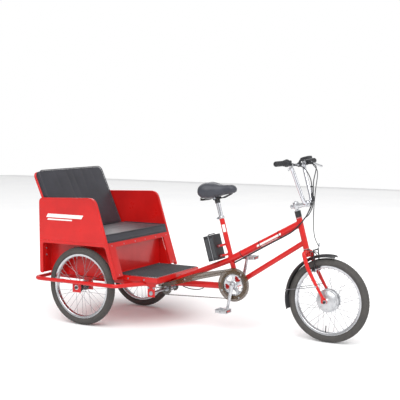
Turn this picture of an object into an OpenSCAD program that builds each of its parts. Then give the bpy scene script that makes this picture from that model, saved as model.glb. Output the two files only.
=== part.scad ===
// Cycle rickshaw: two rear wheels under a padded bench, one steered front wheel with a hub motor.
// Millimetres, +X forward, +Y left, +Z up, ground at Z 0. Places along X are measured forward of the
// rear axle and moved by place() so that the origin sits under the middle of the whole vehicle.

/* [Wheels] */
// Distance from the rear axle to the front axle
wheelbase = 1562; // [1500:1:1650]
// Distance between the two rear wheel centres
track = 700; // [696:1:712]
// Outer diameter of the tyres
tyre_d = 508; // [500:1:510]
// Width of the tyres
tyre_w = 52; // [40:1:54]
// Outer diameter of the rims
rim_d = 422; // [416:1:424]
// Spokes in each rear wheel
spoke_n = 32; // [24:4:36]

/* [Steering] */
// Lean of the head tube from upright, degrees
head_lean = 15; // [12:0.5:18]
// How far the front axle sits ahead of the steering axis
fork_rake = 63; // [50:1:70]
// Height of the lower end of the head tube
head_low = 549; // [540:1:560]
// Length of the head tube
head_len = 200; // [180:1:205]
// Height of the grips
grip_h = 1073; // [1060:1:1090]
// Distance between the grip ends
bar_w = 570; // [560:1:620]

/* [Frame] */
// Height of the bottom bracket
bb_h = 300; // [296:1:306]
// Distance of the bottom bracket ahead of the rear axle
bb_x = 951; // [945:1:960]
// Lean of the seat tube from upright, degrees
seat_lean = 15.5; // [14:0.5:17]
// Length of the seat tube above the bottom bracket
seat_tube_len = 436; // [420:1:450]
// Outer diameter of the main tube
main_d = 44; // [38:1:46]
// Outer diameter of the down tube
down_d = 32; // [28:1:35]

/* [Bench] */
// Width over the side panels
body_w = 750; // [748:1:752]
// Width between the inner walls beside the wheels
well_w = 580; // [570:1:584]
// Height of the armrests at the front
arm_h = 832; // [820:1:840]
// Height of the underside of the seat
shelf_h = 520; // [518:1:526]
// Height of the seat cushion top
seat_h = 606; // [600:1:615]
// Height of the backrest top
back_h = 1003; // [980:1:1020]

/* [Footboard] */
// Height of the footboard top
tray_h = 334; // [330:1:338]
// Width of the footboard
tray_w = 526; // [500:1:540]
// Distance of the footboard front ahead of the rear axle
tray_x = 518; // [500:1:525]

/* [Hidden] */
$fn = 48;
tyre_r = tyre_d / 2;
rim_r = rim_d / 2;
axle_h = tyre_r;
half_track = track / 2;
rail_y = 420;
rail_back = 345;
rail_r = 12.5;
rail_h = 289;
rear_x = -331;
cushion_t = 42;
shell_t = 18;
side_y = body_w / 2;
well_y = well_w / 2;
slope_top_x = 214;
slope = tan(17.5);
hub_axis_gap = fork_rake / cos(head_lean);
axis_x0 = wheelbase - hub_axis_gap;
red = "#D92626";
black = "#2A2A2E";
silver = "#C8C8CC";

// Where the steering axis is at height z, forward of the rear axle
function axis_x(z) = axis_x0 - (z - axle_h) * tan(head_lean);
// Where the seat tube axis is at height z
function seat_x(z) = bb_x - (z - bb_h) * tan(seat_lean);
// Front edge of the side panels and the bench front at height z
function front_x(z) = slope_top_x + (547 - z) * slope;
// Front face of the backrest cushion at height z
function back_x(z) = -317 - (z - 930) * 0.445;
shell_top = back_h - 3;
mid_x = (wheelbase + tyre_r + back_x(shell_top) - cushion_t - 0.2 - shell_t) / 2;
bb = [bb_x, 0, bb_h];
joint_main = [seat_x(452), 0, 452];
main_front = [axis_x(705), 0, 705];
down_front = [axis_x(594), 0, 594];
chassis_y = 240;
rail_bend = 57;
bend_r = 40;
rail_end = 285;
jack = [458, 0, 230];
chain_y = -50;
clamp_x = seat_x(836);
hub = [wheelbase, 0, axle_h];
crown = [axis_x(524) + 4, 0, 524];
// Points that the held cables follow
right_loom = [[1391, -140, 1062], [1432, -92, 1046], [1443, -14, 980], [1452, -8, 900], [1450, -8, 820],
    [1428, -22, 762]];
left_loom = [[1391, 140, 1062], [1436, 92, 1040], [1450, 20, 960], [1456, 2, 880], [1454, 2, 816],
    [1436, -14, 764]];
brake_route = [[1391, 148, 1056], [1440, 104, 1010], [1458, 30, 900], [1452, 20, 760], [1458, 20, 640],
    [1488, 16, 572]];
frame_loom = [[1412, -25, 738], [1396, -27, 716], [1352, -26, 670], [1300, -26, 634], [1160, -26, 557],
    [945, -27, 436]];

module place() translate([-mid_x, 0, 0]) children();
// A round bar from point p to point q
module bar(p, q, r) {
    d = q - p;
    length = norm(d);
    translate(p) rotate([0, acos(d.z / length), atan2(d.y, d.x)]) cylinder(h = length, r = r);
}
// A straight cylinder along Y, centred at [x, y, z]
module disc(x, y, z, r, w) translate([x, y, z]) rotate([90, 0, 0]) cylinder(h = w, r = r, center = true);
module block(lo, hi) translate(lo) cube(hi - lo);
module mirrored() {
    children();
    mirror([0, 1, 0]) children();
}
// Puts the children's Z axis on the steering axis, with Z 0 at height z
module on_steering(z) translate([axis_x(z), 0, z]) rotate([0, -head_lean, 0]) children();
// Puts the children's Z axis on the seat tube axis, with Z 0 at the bottom bracket
module on_seat_tube() translate([bb_x, 0, bb_h]) rotate([0, -seat_lean, 0]) children();

// ---------------------------------------------------------------- frame
module main_frame() color(red) place() difference() {
    union() {
        on_steering(head_low) cylinder(h = head_len, r = 18);
        on_seat_tube() cylinder(h = seat_tube_len, r = 16);
        bar(joint_main + [-12, 0, -6], main_front, main_d / 2);
        bar([462, 0, 266.7], joint_main + [4, 0, 0], 19);
        bar(bb + [4, 0, 2], down_front, down_d / 2);
        bar([462, 0, 266], [bb_x - 13, 0, bb_h - 20], 21);
        disc(bb_x, 0, bb_h, 21, 70);
        on_seat_tube() translate([-64, -18, 186]) cube([60, 36, 14]);
        on_seat_tube() translate([-64, -18, 250]) cube([60, 36, 14]);
    }
    block([400, -60, 200], [470, 60, 360]);
    on_steering(head_low - 1) cylinder(h = head_len + 2, r = 15);
    on_seat_tube() translate([0, 0, 230]) cylinder(h = 220, r = 13.55);
    disc(bb_x, 0, bb_h, 8.55, 90);
}
module rear_chassis() color(red) place() difference() {
    union() {
        mirrored() block([-318, chassis_y - 12, 276], [490, chassis_y + 12, 302]);
        for (x = [-318, -72, 250]) block([x, -chassis_y, 278], [x + 26, chassis_y, 301]);
        block([444, -chassis_y, 278], [469.9, chassis_y, 302]);
        block([444, -38, 240], [469.9, 38, 302]);
        // inner axle plates
        mirrored() block([-34, chassis_y, 290], [36, 286, 302]);
        mirrored() block([-34, 280, 222], [36, 286, 302]);
        // bearing block for the inner end of the drive axle
        block([-72, 22, 278], [22, 34, 302]);
        block([-22, 22, 232], [22, 34, 302]);
    }
    disc(0, -283, axle_h, 6.05, 20);
    disc(0, 150, axle_h, 6.05, 290);
}
module bumper_rail() color(red) place() difference() {
    union() {
        mirrored() {
            translate([-285, rail_y, rail_h]) rotate([0, 90, 0]) cylinder(h = rail_end + 285, r = rail_r);
            translate([-285, rail_y - 60, rail_h]) rotate_extrude(start = 90, angle = 90)
                translate([60, 0]) circle(r = rail_r);
            translate([rail_end, rail_y - bend_r, rail_h]) {
                rotate_extrude(start = 90 - rail_bend, angle = rail_bend) translate([bend_r, 0])
                    circle(r = rail_r);
                rotate([0, 0, 90 - rail_bend]) translate([bend_r, 0.2, 0]) rotate([90, 0, 0])
                    cylinder(h = 200, r = rail_r);
            }
            block([-32, rail_y - 16, 222], [32, rail_y - 9, rail_h]);
            block([-338, chassis_y - 8, rail_h - 8], [-300, chassis_y + 8, rail_h + 8]);
        }
        translate([-rail_back, rail_y - 60, rail_h]) rotate([90, 0, 0]) cylinder(h = 2 * rail_y - 120, r = rail_r);
    }
    mirrored() disc(0, rail_y - 12, axle_h, 6.05, 12);
    block([-318.05, -chassis_y - 12.05, 260], [480, chassis_y + 12.05, 310]);
}
module footboard() color(red) place() difference() {
    block([196, -tray_w / 2, 302.1], [tray_x, tray_w / 2, tray_h]);
    block([192, -tray_w / 2 + 3, 302], [tray_x - 3, tray_w / 2 - 3, tray_h - 3]);
    block([tray_x - 10, -26, 302], [tray_x + 1, 26, 318]);
}
module footboard_mat() color(black) place() union() {
    block([204, -tray_w / 2 + 8, tray_h + 0.05], [tray_x - 10, tray_w / 2 - 8, tray_h + 3]);
    for (y = [-240:16:240]) block([204, y, tray_h + 2.9], [tray_x - 10, y + 7, tray_h + 4.5]);
}

// ---------------------------------------------------------------- bench
// Outline of a side panel in X and Z, with its wheel opening
module side_outline() difference() {
    offset(r = 38) offset(r = -38) polygon([[rear_x, 318], [rear_x, 816], [front_x(arm_h), arm_h],
        [front_x(330), 330], [front_x(330) - 60, 318]]);
    polygon([[rear_x + 26, 200], [rear_x + 26, shelf_h], [front_x(shelf_h) - 22, shelf_h],
        [front_x(300) - 22, 300], [front_x(300) - 22, 200]]);
}
module side_panels() color(red) place() mirrored() translate([0, side_y, 0]) rotate([90, 0, 0])
    linear_extrude(18) side_outline();

// Walls round each wheel: an inner wall, a rear plate and a shelf over the tyre
module wheel_wells() color(red) place() mirrored() union() {
    difference() {
        block([-305, well_y - 3, 308], [206, well_y, shelf_h + 20]);
        translate([0, well_y + 1, 0]) rotate([90, 0, 0]) linear_extrude(10)
            polygon([[front_x(560) - 14.1, 560], [front_x(300) - 14.1, 300], [400, 300], [400, 560]]);
    }
    intersection() {
        block([190, well_y - 3, 308], [300, well_y, shelf_h + 20]);
        translate([0, well_y + 1, 0]) rotate([90, 0, 0]) linear_extrude(10)
            polygon([[front_x(560) - 14.1, 560], [front_x(300) - 14.1, 300], [150, 300], [150, 560]]);
    }
    block([-305, well_y - 1, 322], [-302, side_y - 18.1, shelf_h + 20]);
    block([-303, well_y - 1, shelf_h + 17], [198, side_y - 18.1, shelf_h + 20]);
}

// Picture frame across the bench front, in the plane of the sloping panel edges
module bench_front() color(red) place() union() {
    difference() {
        rotate([90, 0, 0]) linear_extrude(2 * (side_y - 18.1), center = true)
            polygon([[front_x(546) - 14, 546], [front_x(546), 546], [front_x(334), 334],
                [front_x(334) - 14, 334]]);
        block([100, -well_y + 0.1, 300], [400, well_y - 0.1, 516]);
    }
    block([186, -well_y + 3.1, 302.2], [189, well_y - 3.1, 540]);
    block([186, -well_y + 3.1, 534], [front_x(540) - 10, well_y - 3.1, 540]);
}

module bench_rear_panel() color(red) place() difference() {
    block([rear_x, -side_y + 18.1, 318], [rear_x + 4, side_y - 18.1, 806]);
    mirrored() translate([rear_x - 1, side_y - 18.1 - 20, 318 - 1]) cube([10, 30, 20]);
}

module seat_pan() color(red) place() union() {
    block([-326.5, -side_y + 18.2, shelf_h + 20.2], [front_x(546) - 16, side_y - 18.2, shelf_h + 26]);
    block([-326.5, -well_y + 3.2, 302.1], [185, well_y - 3.2, 305]);
}
// Raked slab behind the seat: thickness is measured along X
module slab(z0, z1, gap, t, half) translate([0, half, 0]) rotate([90, 0, 0]) linear_extrude(2 * half)
    polygon([[back_x(z0) - gap, z0], [back_x(z0) - gap - t, z0], [back_x(z1) - gap - t, z1],
        [back_x(z1) - gap, z1]]);
module backrest_shell() color(red) place() difference() {
    intersection() {
        slab(560, shell_top, cushion_t + 0.2, shell_t, side_y - 18.3);
        rotate([90, 0, 90]) translate([0, 0, -600]) linear_extrude(900) offset(r = 45) offset(r = -45)
            polygon([[-360, 400], [360, 400], [360, 1006], [-360, 1006]]);
    }
    block([-600, -400, 400], [rear_x + 4.3, 400, 806.5]);
}

module seat_cushion() color(black) place() rotate([90, 0, 0]) linear_extrude(2 * (side_y - 20), center = true)
    polygon([[-190, 547], [front_x(547) + 2, 547], [front_x(600) + 1, 600], [front_x(600) - 8, seat_h],
        [back_x(seat_h) + 1, seat_h], [-190, 600]]);

module backrest_cushion() color(black) place() intersection() {
    slab(seat_h + 1, back_h, 0, cushion_t, side_y - 24);
    rotate([90, 0, 90]) translate([0, 0, -600]) linear_extrude(900) offset(r = 45) offset(r = -45)
        polygon([[-352, 400], [352, 400], [352, back_h], [-352, back_h]]);
}

// ---------------------------------------------------------------- rear wheels
// A tyre standing in the XZ plane round [0, 0, 0]
module tyre() rotate([90, 0, 0]) rotate_extrude() difference() {
    translate([tyre_r - tyre_w / 2, 0]) circle(r = tyre_w / 2);
    translate([0, -50]) square([rim_r + 0.3, 100]);
    translate([tyre_r - tyre_w / 2 - 4, 0]) circle(r = tyre_w / 2 - 8);
    translate([rim_r - 20, -9]) square([30, 18]);
}
module hoop() rotate([90, 0, 0]) rotate_extrude() difference() {
    translate([rim_r - 17, -17]) square([17, 34]);
    translate([rim_r - 9, -14]) square([10, 28]);
}
// Spokes from a flange of radius r at +-y to the rim, crossing in pairs
module spokes(n, r, y) for (k = [0:n - 1]) {
    s = k % 2 == 0 ? 1 : -1;
    lead = floor(k / 2) % 2 == 0 ? 1 : -1;
    a = 360 * k / n;
    b = a + lead * (r > 40 ? 26 : 62);
    bar([r * cos(b), s * (y + lead * 2.5), r * sin(b)], [(rim_r - 15) * cos(a), s * 4, (rim_r - 15) * sin(a)], 1);
}
// A rim laced with its spokes
module rim(n, r, y) union() {
    hoop();
    spokes(n, r, y);
}
module rear_hub(bore) rotate([90, 0, 0]) difference() {
    union() {
        cylinder(h = 84, r = 20, center = true);
        for (y = [-28, 28]) translate([0, 0, y]) cylinder(h = 3.4, r = 31, center = true);
    }
    cylinder(h = 100, r = bore, center = true);
}
module at_rear(s) place() translate([0, s * half_track, axle_h]) children();
module right_tyre() color(black) at_rear(-1) tyre();
module left_tyre() color(black) at_rear(1) tyre();
module right_rim() color(silver) at_rear(-1) rim(spoke_n, 32, 28);
module left_rim() color(silver) at_rear(1) rim(spoke_n, 32, 28);
module right_hub() color(black) at_rear(-1) rear_hub(6.05);
module left_hub() color(black) at_rear(1) rear_hub(6);
module nut(x, y, z) translate([x, y, z]) rotate([90, 0, 0]) cylinder(h = 9, r = 10, $fn = 6, center = true);
module rear_axle_right() color(silver) place() union() {
    disc(0, -350, axle_h, 6, 136);
    nut(0, -415.6, axle_h);
    disc(0, -394, axle_h, 9, 3);
    disc(0, -306, axle_h, 9, 3);
    nut(0, -274, axle_h);
}
module drive_axle() color(silver) place() union() {
    disc(0, 213, axle_h, 6, 414);
    disc(0, 50, axle_h, 28.2, 3);
    disc(0, 50, axle_h, 15, 14);
    nut(0, 415.6, axle_h);
}

// ---------------------------------------------------------------- drive
// A chain loop round two circles in the XZ plane, as a band of the given width
module loop(a, ra, b, rb, t, y, w) translate([0, y, 0]) rotate([90, 0, 0]) linear_extrude(w, center = true)
    difference() {
        hull() {
            translate(a) circle(r = ra + t);
            translate(b) circle(r = rb + t);
        }
        hull() {
            translate(a) circle(r = ra - t);
            translate(b) circle(r = rb - t);
        }
    }
module chains() color("#555555") place() union() {
    loop([bb_x, bb_h], 89, [jack.x, jack.z], 38.6, 3.6, chain_y, 7);
    loop([jack.x, jack.z], 26.5, [0, axle_h], 32.5, 3.6, 50, 7);
}
module jackshaft() color(silver) place() union() {
    disc(jack.x, 0, jack.z, 8, 484);
    disc(jack.x, chain_y, jack.z, 34.6, 3);
    disc(jack.x, 50, jack.z, 22.5, 3);
    disc(jack.x, chain_y, jack.z, 16, 14);
    disc(jack.x, 50, jack.z, 14, 14);
}
module jackshaft_brackets() color(red) place() mirrored() difference() {
    block([jack.x - 26, chassis_y - 8, 206], [jack.x + 26, chassis_y - 2, 275.9]);
    disc(jack.x, chassis_y - 5, jack.z, 8.05, 10);
}
module chain_guard() color("#6B5B4B") place() translate([0, chain_y - 8, 0]) rotate([90, 0, 0]) union() {
    linear_extrude(2) difference() {
        union() {
            translate([bb_x, bb_h]) circle(r = 105);
            polygon([[bb_x, bb_h + 105], [700, 356], [632, 333], [540, 299], [476, 275], [400, 256],
                [400, 240], [470, 246], [562, 272], [740, 322], [bb_x - 91.4, bb_h + 51.8],
                [bb_x - 60, bb_h + 60]]);
        }
        translate([bb_x, bb_h]) circle(r = 69);
    }
    translate([0, 0, -16]) linear_extrude(16.1) difference() {
        translate([bb_x, bb_h]) circle(r = 105);
        translate([bb_x, bb_h]) circle(r = 103);
        polygon([[bb_x - 200, 100], [bb_x, 100], [bb_x, bb_h], [bb_x - 60, 500], [bb_x - 200, 500]]);
    }
}
module chain_tensioner() color(black) place() union() {
    disc(255, 50, 228, 12, 10);
    disc(255, 57, 228, 4, 12);
    block([247, 58, 222], [263, 62, 277.9]);
}
module crankset() color(silver) place() union() {
    disc(bb_x, 0, bb_h, 8.5, 150);
    disc(bb_x, chain_y, bb_h, 85, 4);
    disc(bb_x, -58, bb_h, 18, 20);
    bar([bb_x, -74, bb_h], [bb_x - 26, -84, bb_h - 150], 9);
    bar([bb_x, 74, bb_h], [bb_x + 26, 84, bb_h + 150], 9);
    disc(bb_x, -72, bb_h, 15, 14);
    disc(bb_x, 72, bb_h, 15, 14);
    disc(bb_x - 26, -84, bb_h - 150, 12, 14);
    disc(bb_x + 26, 84, bb_h + 150, 12, 14);
    disc(bb_x - 26, -125, bb_h - 150, 6, 80);
    disc(bb_x + 26, 125, bb_h + 150, 6, 80);
}
module pedal() difference() {
    union() {
        for (x = [-34, 34]) translate([x, 0, 0]) cube([8, 84, 24], center = true);
        for (y = [-38, 0, 38]) translate([0, y, 0]) cube([70, 8, 20], center = true);
        rotate([90, 0, 0]) cylinder(h = 84, r = 11, center = true);
    }
    rotate([90, 0, 0]) cylinder(h = 100, r = 6.05, center = true);
}
module right_pedal() color(silver) place() translate([bb_x - 26, -140, bb_h - 150]) pedal();
module left_pedal() color(silver) place() translate([bb_x + 26, 140, bb_h + 150]) pedal();

// ---------------------------------------------------------------- saddle and battery
module battery_box() color(black) place() on_seat_tube() translate([-101, 0, 254])
    cube([72, 102, 164], center = true);
module seat_post() color(silver) place() on_seat_tube() translate([0, 0, 260]) cylinder(h = 262, r = 13.5);
module saddle_rails() color(black) place() union() {
    mirrored() {
        bar([726, 22, 819], [776, 22, 837], 3.6);
        bar([774, 22, 836.4], [848, 22, 836.4], 3.5);
        bar([846, 22, 836], [908, 10, 868], 3.6);
        translate([724, 48, 820]) cylinder(h = 41, r = 13);
    }
    block([712, -54, 816], [738, 54, 822]);
    block([902, -12, 862], [914, 12, 870]);
    disc(clamp_x, 0, 836, 14, 60);
    difference() {
        on_seat_tube() translate([0, 0, 500]) cylinder(h = 58, r = 17);
        on_seat_tube() cylinder(h = 522.3, r = 13.55);
    }
}
module saddle() color(black) place() hull() {
    for (y = [-60, 60]) translate([742, y, 899]) sphere(r = 36, $fn = 24);
    translate([812, 0, 902]) sphere(r = 34, $fn = 24);
    translate([926, 0, 892]) sphere(r = 17, $fn = 24);
}
// ---------------------------------------------------------------- steering
module headset() color(black) place() union() {
    on_steering(head_low) translate([0, 0, -7]) difference() {
        cylinder(h = 6.9, r = 20);
        translate([0, 0, -1]) cylinder(h = 20, r = 12.75);
    }
    on_steering(head_low) translate([0, 0, head_len + 0.1]) difference() {
        cylinder(h = 40, r = 19);
        translate([0, 0, -1]) cylinder(h = 60, r = 12.75);
    }
}
module fork() color(red) place() difference() {
    union() {
        on_steering(head_low) translate([0, 0, -20]) cylinder(h = head_len + 72, r = 12.7);
        on_steering(head_low) translate([0, 0, -44]) cylinder(h = 36.5, r = 19);
        translate(crown) rotate([90, 0, 0]) cylinder(h = 136, r = 15, center = true);
        mirrored() {
            bar([crown.x, 56, crown.z], [wheelbase - 8, 59, axle_h + 12], 12);
            block([wheelbase - 24, 56, axle_h - 14], [wheelbase + 14, 62, axle_h + 16]);
        }
    }
    disc(wheelbase, 0, axle_h, 5.05, 140);
}
module stem() color(silver) place() difference() {
    union() {
        on_steering(head_low) translate([0, 0, head_len + 53]) cylinder(h = 40, r = 17);
        bar([axis_x(800) - 30, 0, 804], [axis_x(800) + 76, 0, 826], 14);
        disc(1424, 0, 828, 20, 50);
    }
    disc(1424, 0, 828, 11.05, 60);
}
module handlebar() color(silver) place() union() {
    disc(1424, 0, 828, 11, 112);
    mirrored() {
        translate([1424, 56, 828]) sphere(r = 11.5);
        bar([1424, 56, 828], [1418, 62, 850], 11);
        translate([1418, 62, 850]) sphere(r = 11.5);
        bar([1418, 62, 850], [1354, 92, 1050], 11);
        translate([1354, 92, 1050]) sphere(r = 11.5);
        bar([1354, 92, 1050], [1350, 118, grip_h], 11);
        translate([1350, 118, grip_h]) sphere(r = 11.5);
        bar([1350, 118, grip_h], [1343, bar_w / 2, grip_h], 11);
    }
    disc(1352, 0, 1058, 9, 184);
}
module grips() color(black) place() mirrored() difference() {
    bar([1347.8, 180, grip_h], [1342.9, bar_w / 2 + 3, grip_h], 16);
    bar([1350, 118, grip_h], [1343, bar_w / 2 + 0.05, grip_h], 11.05);
}
// Brake levers, the round switch housings and the display on the crossbar
module bar_controls() color(black) place() union() {
    mirrored() difference() {
        union() {
            bar([1349.6, 128, grip_h], [1348, 174, grip_h], 19);
            block([1352, 140, grip_h - 14], [1388, 158, grip_h + 4]);
            bar([1384, 150, grip_h - 6], [1404, 256, grip_h - 32], 5);
        }
        bar([1350, 118, grip_h], [1343, bar_w / 2 + 0.05, grip_h], 11.05);
    }
    difference() {
        union() {
            block([1340, 22, 1046], [1368, 40, 1090]);
            block([1366, 4, 1086], [1430, 62, 1112]);
            block([1340, 22, 1086], [1370, 40, 1100]);
        }
        disc(1352, 0, 1058, 9.05, 200);
    }
}
// Point i of a path, held at its ends
function held(p, i) = p[max(0, min(len(p) - 1, i))];
// A smooth curve through the points of p, with n steps between two points
function curve(p, n) = [for (i = [0:len(p) - 2]) for (k = [0:n - 1])
    let (t = k / n, a = held(p, i - 1), b = p[i], c = p[i + 1], d = held(p, i + 2))
    b + 0.5 * ((c - a) * t + (2 * a - 5 * b + 4 * c - d) * t * t + (3 * b - a - 3 * c + d) * t * t * t),
    p[len(p) - 1]];
function unit(v) = v / norm(v);
// A cable of radius r along the curve through p; side is a direction it never runs along
module cable(p, r, side, n = 3, m = 8) {
    path = curve(p, n);
    rings = [for (i = [0:len(path) - 1])
        let (t = unit(held(path, i + 1) - held(path, i - 1)), u = unit(cross(t, side)), v = cross(t, u))
        for (k = [0:m - 1]) path[i] + r * (cos(360 * k / m) * u + sin(360 * k / m) * v)];
    last = (len(path) - 1) * m;
    polyhedron(rings, concat(
        [[for (k = [0:m - 1]) k]],
        [for (i = [0:len(path) - 2]) for (k = [0:m - 1])
            let (a = i * m + k, b = i * m + (k + 1) % m) [b, a, a + m, b + m]],
        [[for (k = [m - 1:-1:0]) last + k]]));
}
module steering_cables() color(black) place() union() {
    cable(right_loom, 3, [1, 0, 0], 2);
    cable(left_loom, 3, [1, 0, 0], 2);
    cable(brake_route, 2.5, [1, 0, 0], 2);
}
module frame_cables() color(black) place() union() {
    cable(frame_loom, 5, [0, 1, 0], 2);
}
module front_brake() color(black) place() mirrored() union() {
    bar([1489, 36.5, 432], [1478, 36.5, 556], 4.5);
    bar([1489, 24, 440], [1489, 38, 440], 5);
}
module front_fender() color(black) place() translate(hub) rotate([90, 0, 0])
    rotate_extrude(start = 80, angle = 116) translate([274, -30]) square([3, 60]);
module front_axle() color(silver) place() union() {
    disc(wheelbase, 0, axle_h, 5, 148);
    nut(wheelbase, 66.6, axle_h);
    nut(wheelbase, -66.6, axle_h);
}
module at_front() place() translate(hub) children();
module front_tyre() color(black) at_front() tyre();
module front_rim() color(silver) at_front() rim(36, 70.5, 19);
module front_hub_motor() color(silver) at_front() rotate([90, 0, 0]) difference() {
    union() {
        cylinder(h = 70, r = 60, center = true);
        for (y = [-19, 19]) translate([0, 0, y]) cylinder(h = 4, r = 70, center = true);
        cylinder(h = 100, r = 14, center = true);
    }
    cylinder(h = 120, r = 5.05, center = true);
}

main_frame();
rear_chassis();
bumper_rail();
footboard();
footboard_mat();
wheel_wells();
side_panels();
bench_front();
bench_rear_panel();
seat_pan();
backrest_shell();
seat_cushion();
backrest_cushion();
rear_axle_right();
chains();
chain_guard();
chain_tensioner();
jackshaft_brackets();
battery_box();
seat_post();
saddle_rails();
saddle();
headset();
frame_cables();
jackshaft();
crankset();
right_pedal();
left_pedal();
fork();
stem();
handlebar();
grips();
bar_controls();
steering_cables();
front_brake();
front_fender();
front_axle();
front_tyre();
front_rim();
front_hub_motor();
right_tyre();
right_rim();
right_hub();
left_tyre();
left_rim();
left_hub();
drive_axle();
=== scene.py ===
"""Builds the visual model of a cycle rickshaw on its CAD frame: bench, wheels, drive, steering and saddle."""
import math

import bmesh
import bpy
import numpy as np
from mathutils import Matrix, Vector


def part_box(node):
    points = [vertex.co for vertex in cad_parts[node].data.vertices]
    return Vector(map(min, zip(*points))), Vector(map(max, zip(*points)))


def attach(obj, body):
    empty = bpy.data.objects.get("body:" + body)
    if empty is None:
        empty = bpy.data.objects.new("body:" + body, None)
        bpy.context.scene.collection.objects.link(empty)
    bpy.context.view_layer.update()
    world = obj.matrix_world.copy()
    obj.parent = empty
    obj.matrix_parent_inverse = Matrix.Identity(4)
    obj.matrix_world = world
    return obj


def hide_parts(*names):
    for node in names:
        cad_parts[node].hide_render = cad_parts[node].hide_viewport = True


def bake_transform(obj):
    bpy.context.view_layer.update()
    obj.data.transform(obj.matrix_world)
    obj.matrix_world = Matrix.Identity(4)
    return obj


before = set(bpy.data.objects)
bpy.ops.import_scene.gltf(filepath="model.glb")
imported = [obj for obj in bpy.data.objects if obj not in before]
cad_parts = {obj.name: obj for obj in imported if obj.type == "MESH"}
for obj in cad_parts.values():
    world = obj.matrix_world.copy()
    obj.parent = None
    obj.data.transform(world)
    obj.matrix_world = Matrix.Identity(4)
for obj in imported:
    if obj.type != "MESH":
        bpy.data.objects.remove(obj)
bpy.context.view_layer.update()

bl_info = {
    "name": "Cycle rickshaw",
    "version": (1, 0, 0),
    "blender": (4, 5, 0),
    "location": "View3D > Sidebar > Rickshaw",
    "description": "Adds the looks of a cycle rickshaw to its CAD frame",
    "category": "Object",
}

HUB_LOW, HUB_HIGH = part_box("left_hub")
# The maker's drawing counts millimetres forward of the rear axle; this is where the row's origin lies on it
MIDDLE = np.array([-500.0 * (HUB_LOW.x + HUB_HIGH.x), 0.0, 0.0])
AXLE_H = 254.0
FRONT_AXLE = np.array([1562.0, 0.0, AXLE_H])
BRACKET = np.array([951.0, 0.0, 300.0])
JACK = np.array([458.0, 0.0, 230.0])
HALF_TRACK = 350.0
CRANK = np.array([26.0, 0.0, 150.0])
CHAIN_Y = 50.0
CHAINRING_R = 89.0
FIRST_COG_R = 38.6
SECOND_COG_R = 26.5
LAST_COG_R = 32.5
GUARD_R = 105.0
HEAD_R = 18.0
MAIN_R = 22.0
DOWN_R = 16.0
REAR_R = 19.0
SEAT_R = 16.0
SHELL_R = 21.0
# The backrest goes back this far for each millimetre of height
RAKE = 0.445
BAR_CLAMP = np.array([1424.0, 0.0, 828.0])
CROSSBAR = np.array([1352.0, 0.0, 1058.0])
LEAN = math.radians(15.0)
STEER = np.array([-math.sin(LEAN), 0.0, math.cos(LEAN)])
SEAT_LEAN = math.radians(15.5)
SEAT_TUBE = np.array([-math.sin(SEAT_LEAN), 0.0, math.cos(SEAT_LEAN)])
SEAT_FRONT = np.array([math.cos(SEAT_LEAN), 0.0, math.sin(SEAT_LEAN)])
X, Y, Z = np.eye(3)
TURN = 2 * math.pi


# ------------------------------------------------------------------ places on the vehicle
def steer_x(z):
    """Forward place of the steering axis at height z. It leans back 15 degrees, 63 mm behind the axle."""
    return FRONT_AXLE[0] - 63.0 / math.cos(LEAN) - (z - AXLE_H) * math.tan(LEAN)


def on_steering(z, out=0.0):
    """Point on the steering axis at height z, moved out along Y."""
    return np.array([steer_x(z), out, z])


def on_seat_tube(along, ahead=0.0, out=0.0):
    """Point beside the seat tube: along it from the bracket, ahead of it, and out along Y."""
    return BRACKET + along * SEAT_TUBE + ahead * SEAT_FRONT + np.array([0.0, out, 0.0])


def panel_front(z):
    """Forward place of the sloping front edge of the bench at height z."""
    return 214.0 + (547.0 - z) * math.tan(math.radians(17.5))


def back_face(z):
    """Forward place of the backrest's front face at height z."""
    return -317.0 - (z - 930.0) * RAKE


# ------------------------------------------------------------------ surfaces as whole arrays
def unit(v):
    """Vectors divided by their lengths."""
    return v / np.linalg.norm(v, axis=-1, keepdims=True)


def smooth(x):
    """Smooth step: 3x^2 - 2x^3, with x held between 0 and 1."""
    x = np.clip(x, 0.0, 1.0)
    return x * x * (3 - 2 * x)


def around(m):
    """Angles evenly round a circle, starting at 0: k 2 pi / m."""
    return np.linspace(0, TURN, m, endpoint=False)


def bow(w, power):
    """A sine or cosine raised to a power with its sign kept. A lower power makes a circle squarer."""
    return np.sign(w) * np.abs(w) ** power


def oval(wide, high, m, power=1.0):
    """Section of a tube, in units of its radius: (wide cos a, high sin a), squared off by the power."""
    a = around(m)
    return np.stack([wide * bow(np.cos(a), power), high * bow(np.sin(a), power)], -1)


def spline(points, n=8, closed=False):
    """Catmull-Rom curve through the points: each stretch is a cubic of its two ends and their neighbours."""
    p = np.asarray(points, float)
    if closed:
        a, b, c, d = np.roll(p, 1, 0), p, np.roll(p, -1, 0), np.roll(p, -2, 0)
    else:
        q = np.vstack([2 * p[0] - p[1], p, 2 * p[-1] - p[-2]])
        a, b, c, d = q[:-3], q[1:-2], q[2:-1], q[3:]
    t = np.linspace(0, 1, n, endpoint=False)[None, :, None]
    a, b, c, d = a[:, None], b[:, None], c[:, None], d[:, None]
    curve = b + 0.5 * ((c - a) * t + (2 * a - 5 * b + 4 * c - d) * t**2 + (3 * b - a - 3 * c + d) * t**3)
    curve = curve.reshape(-1, p.shape[1])
    return curve if closed else np.vstack([curve, p[-1]])


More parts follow.
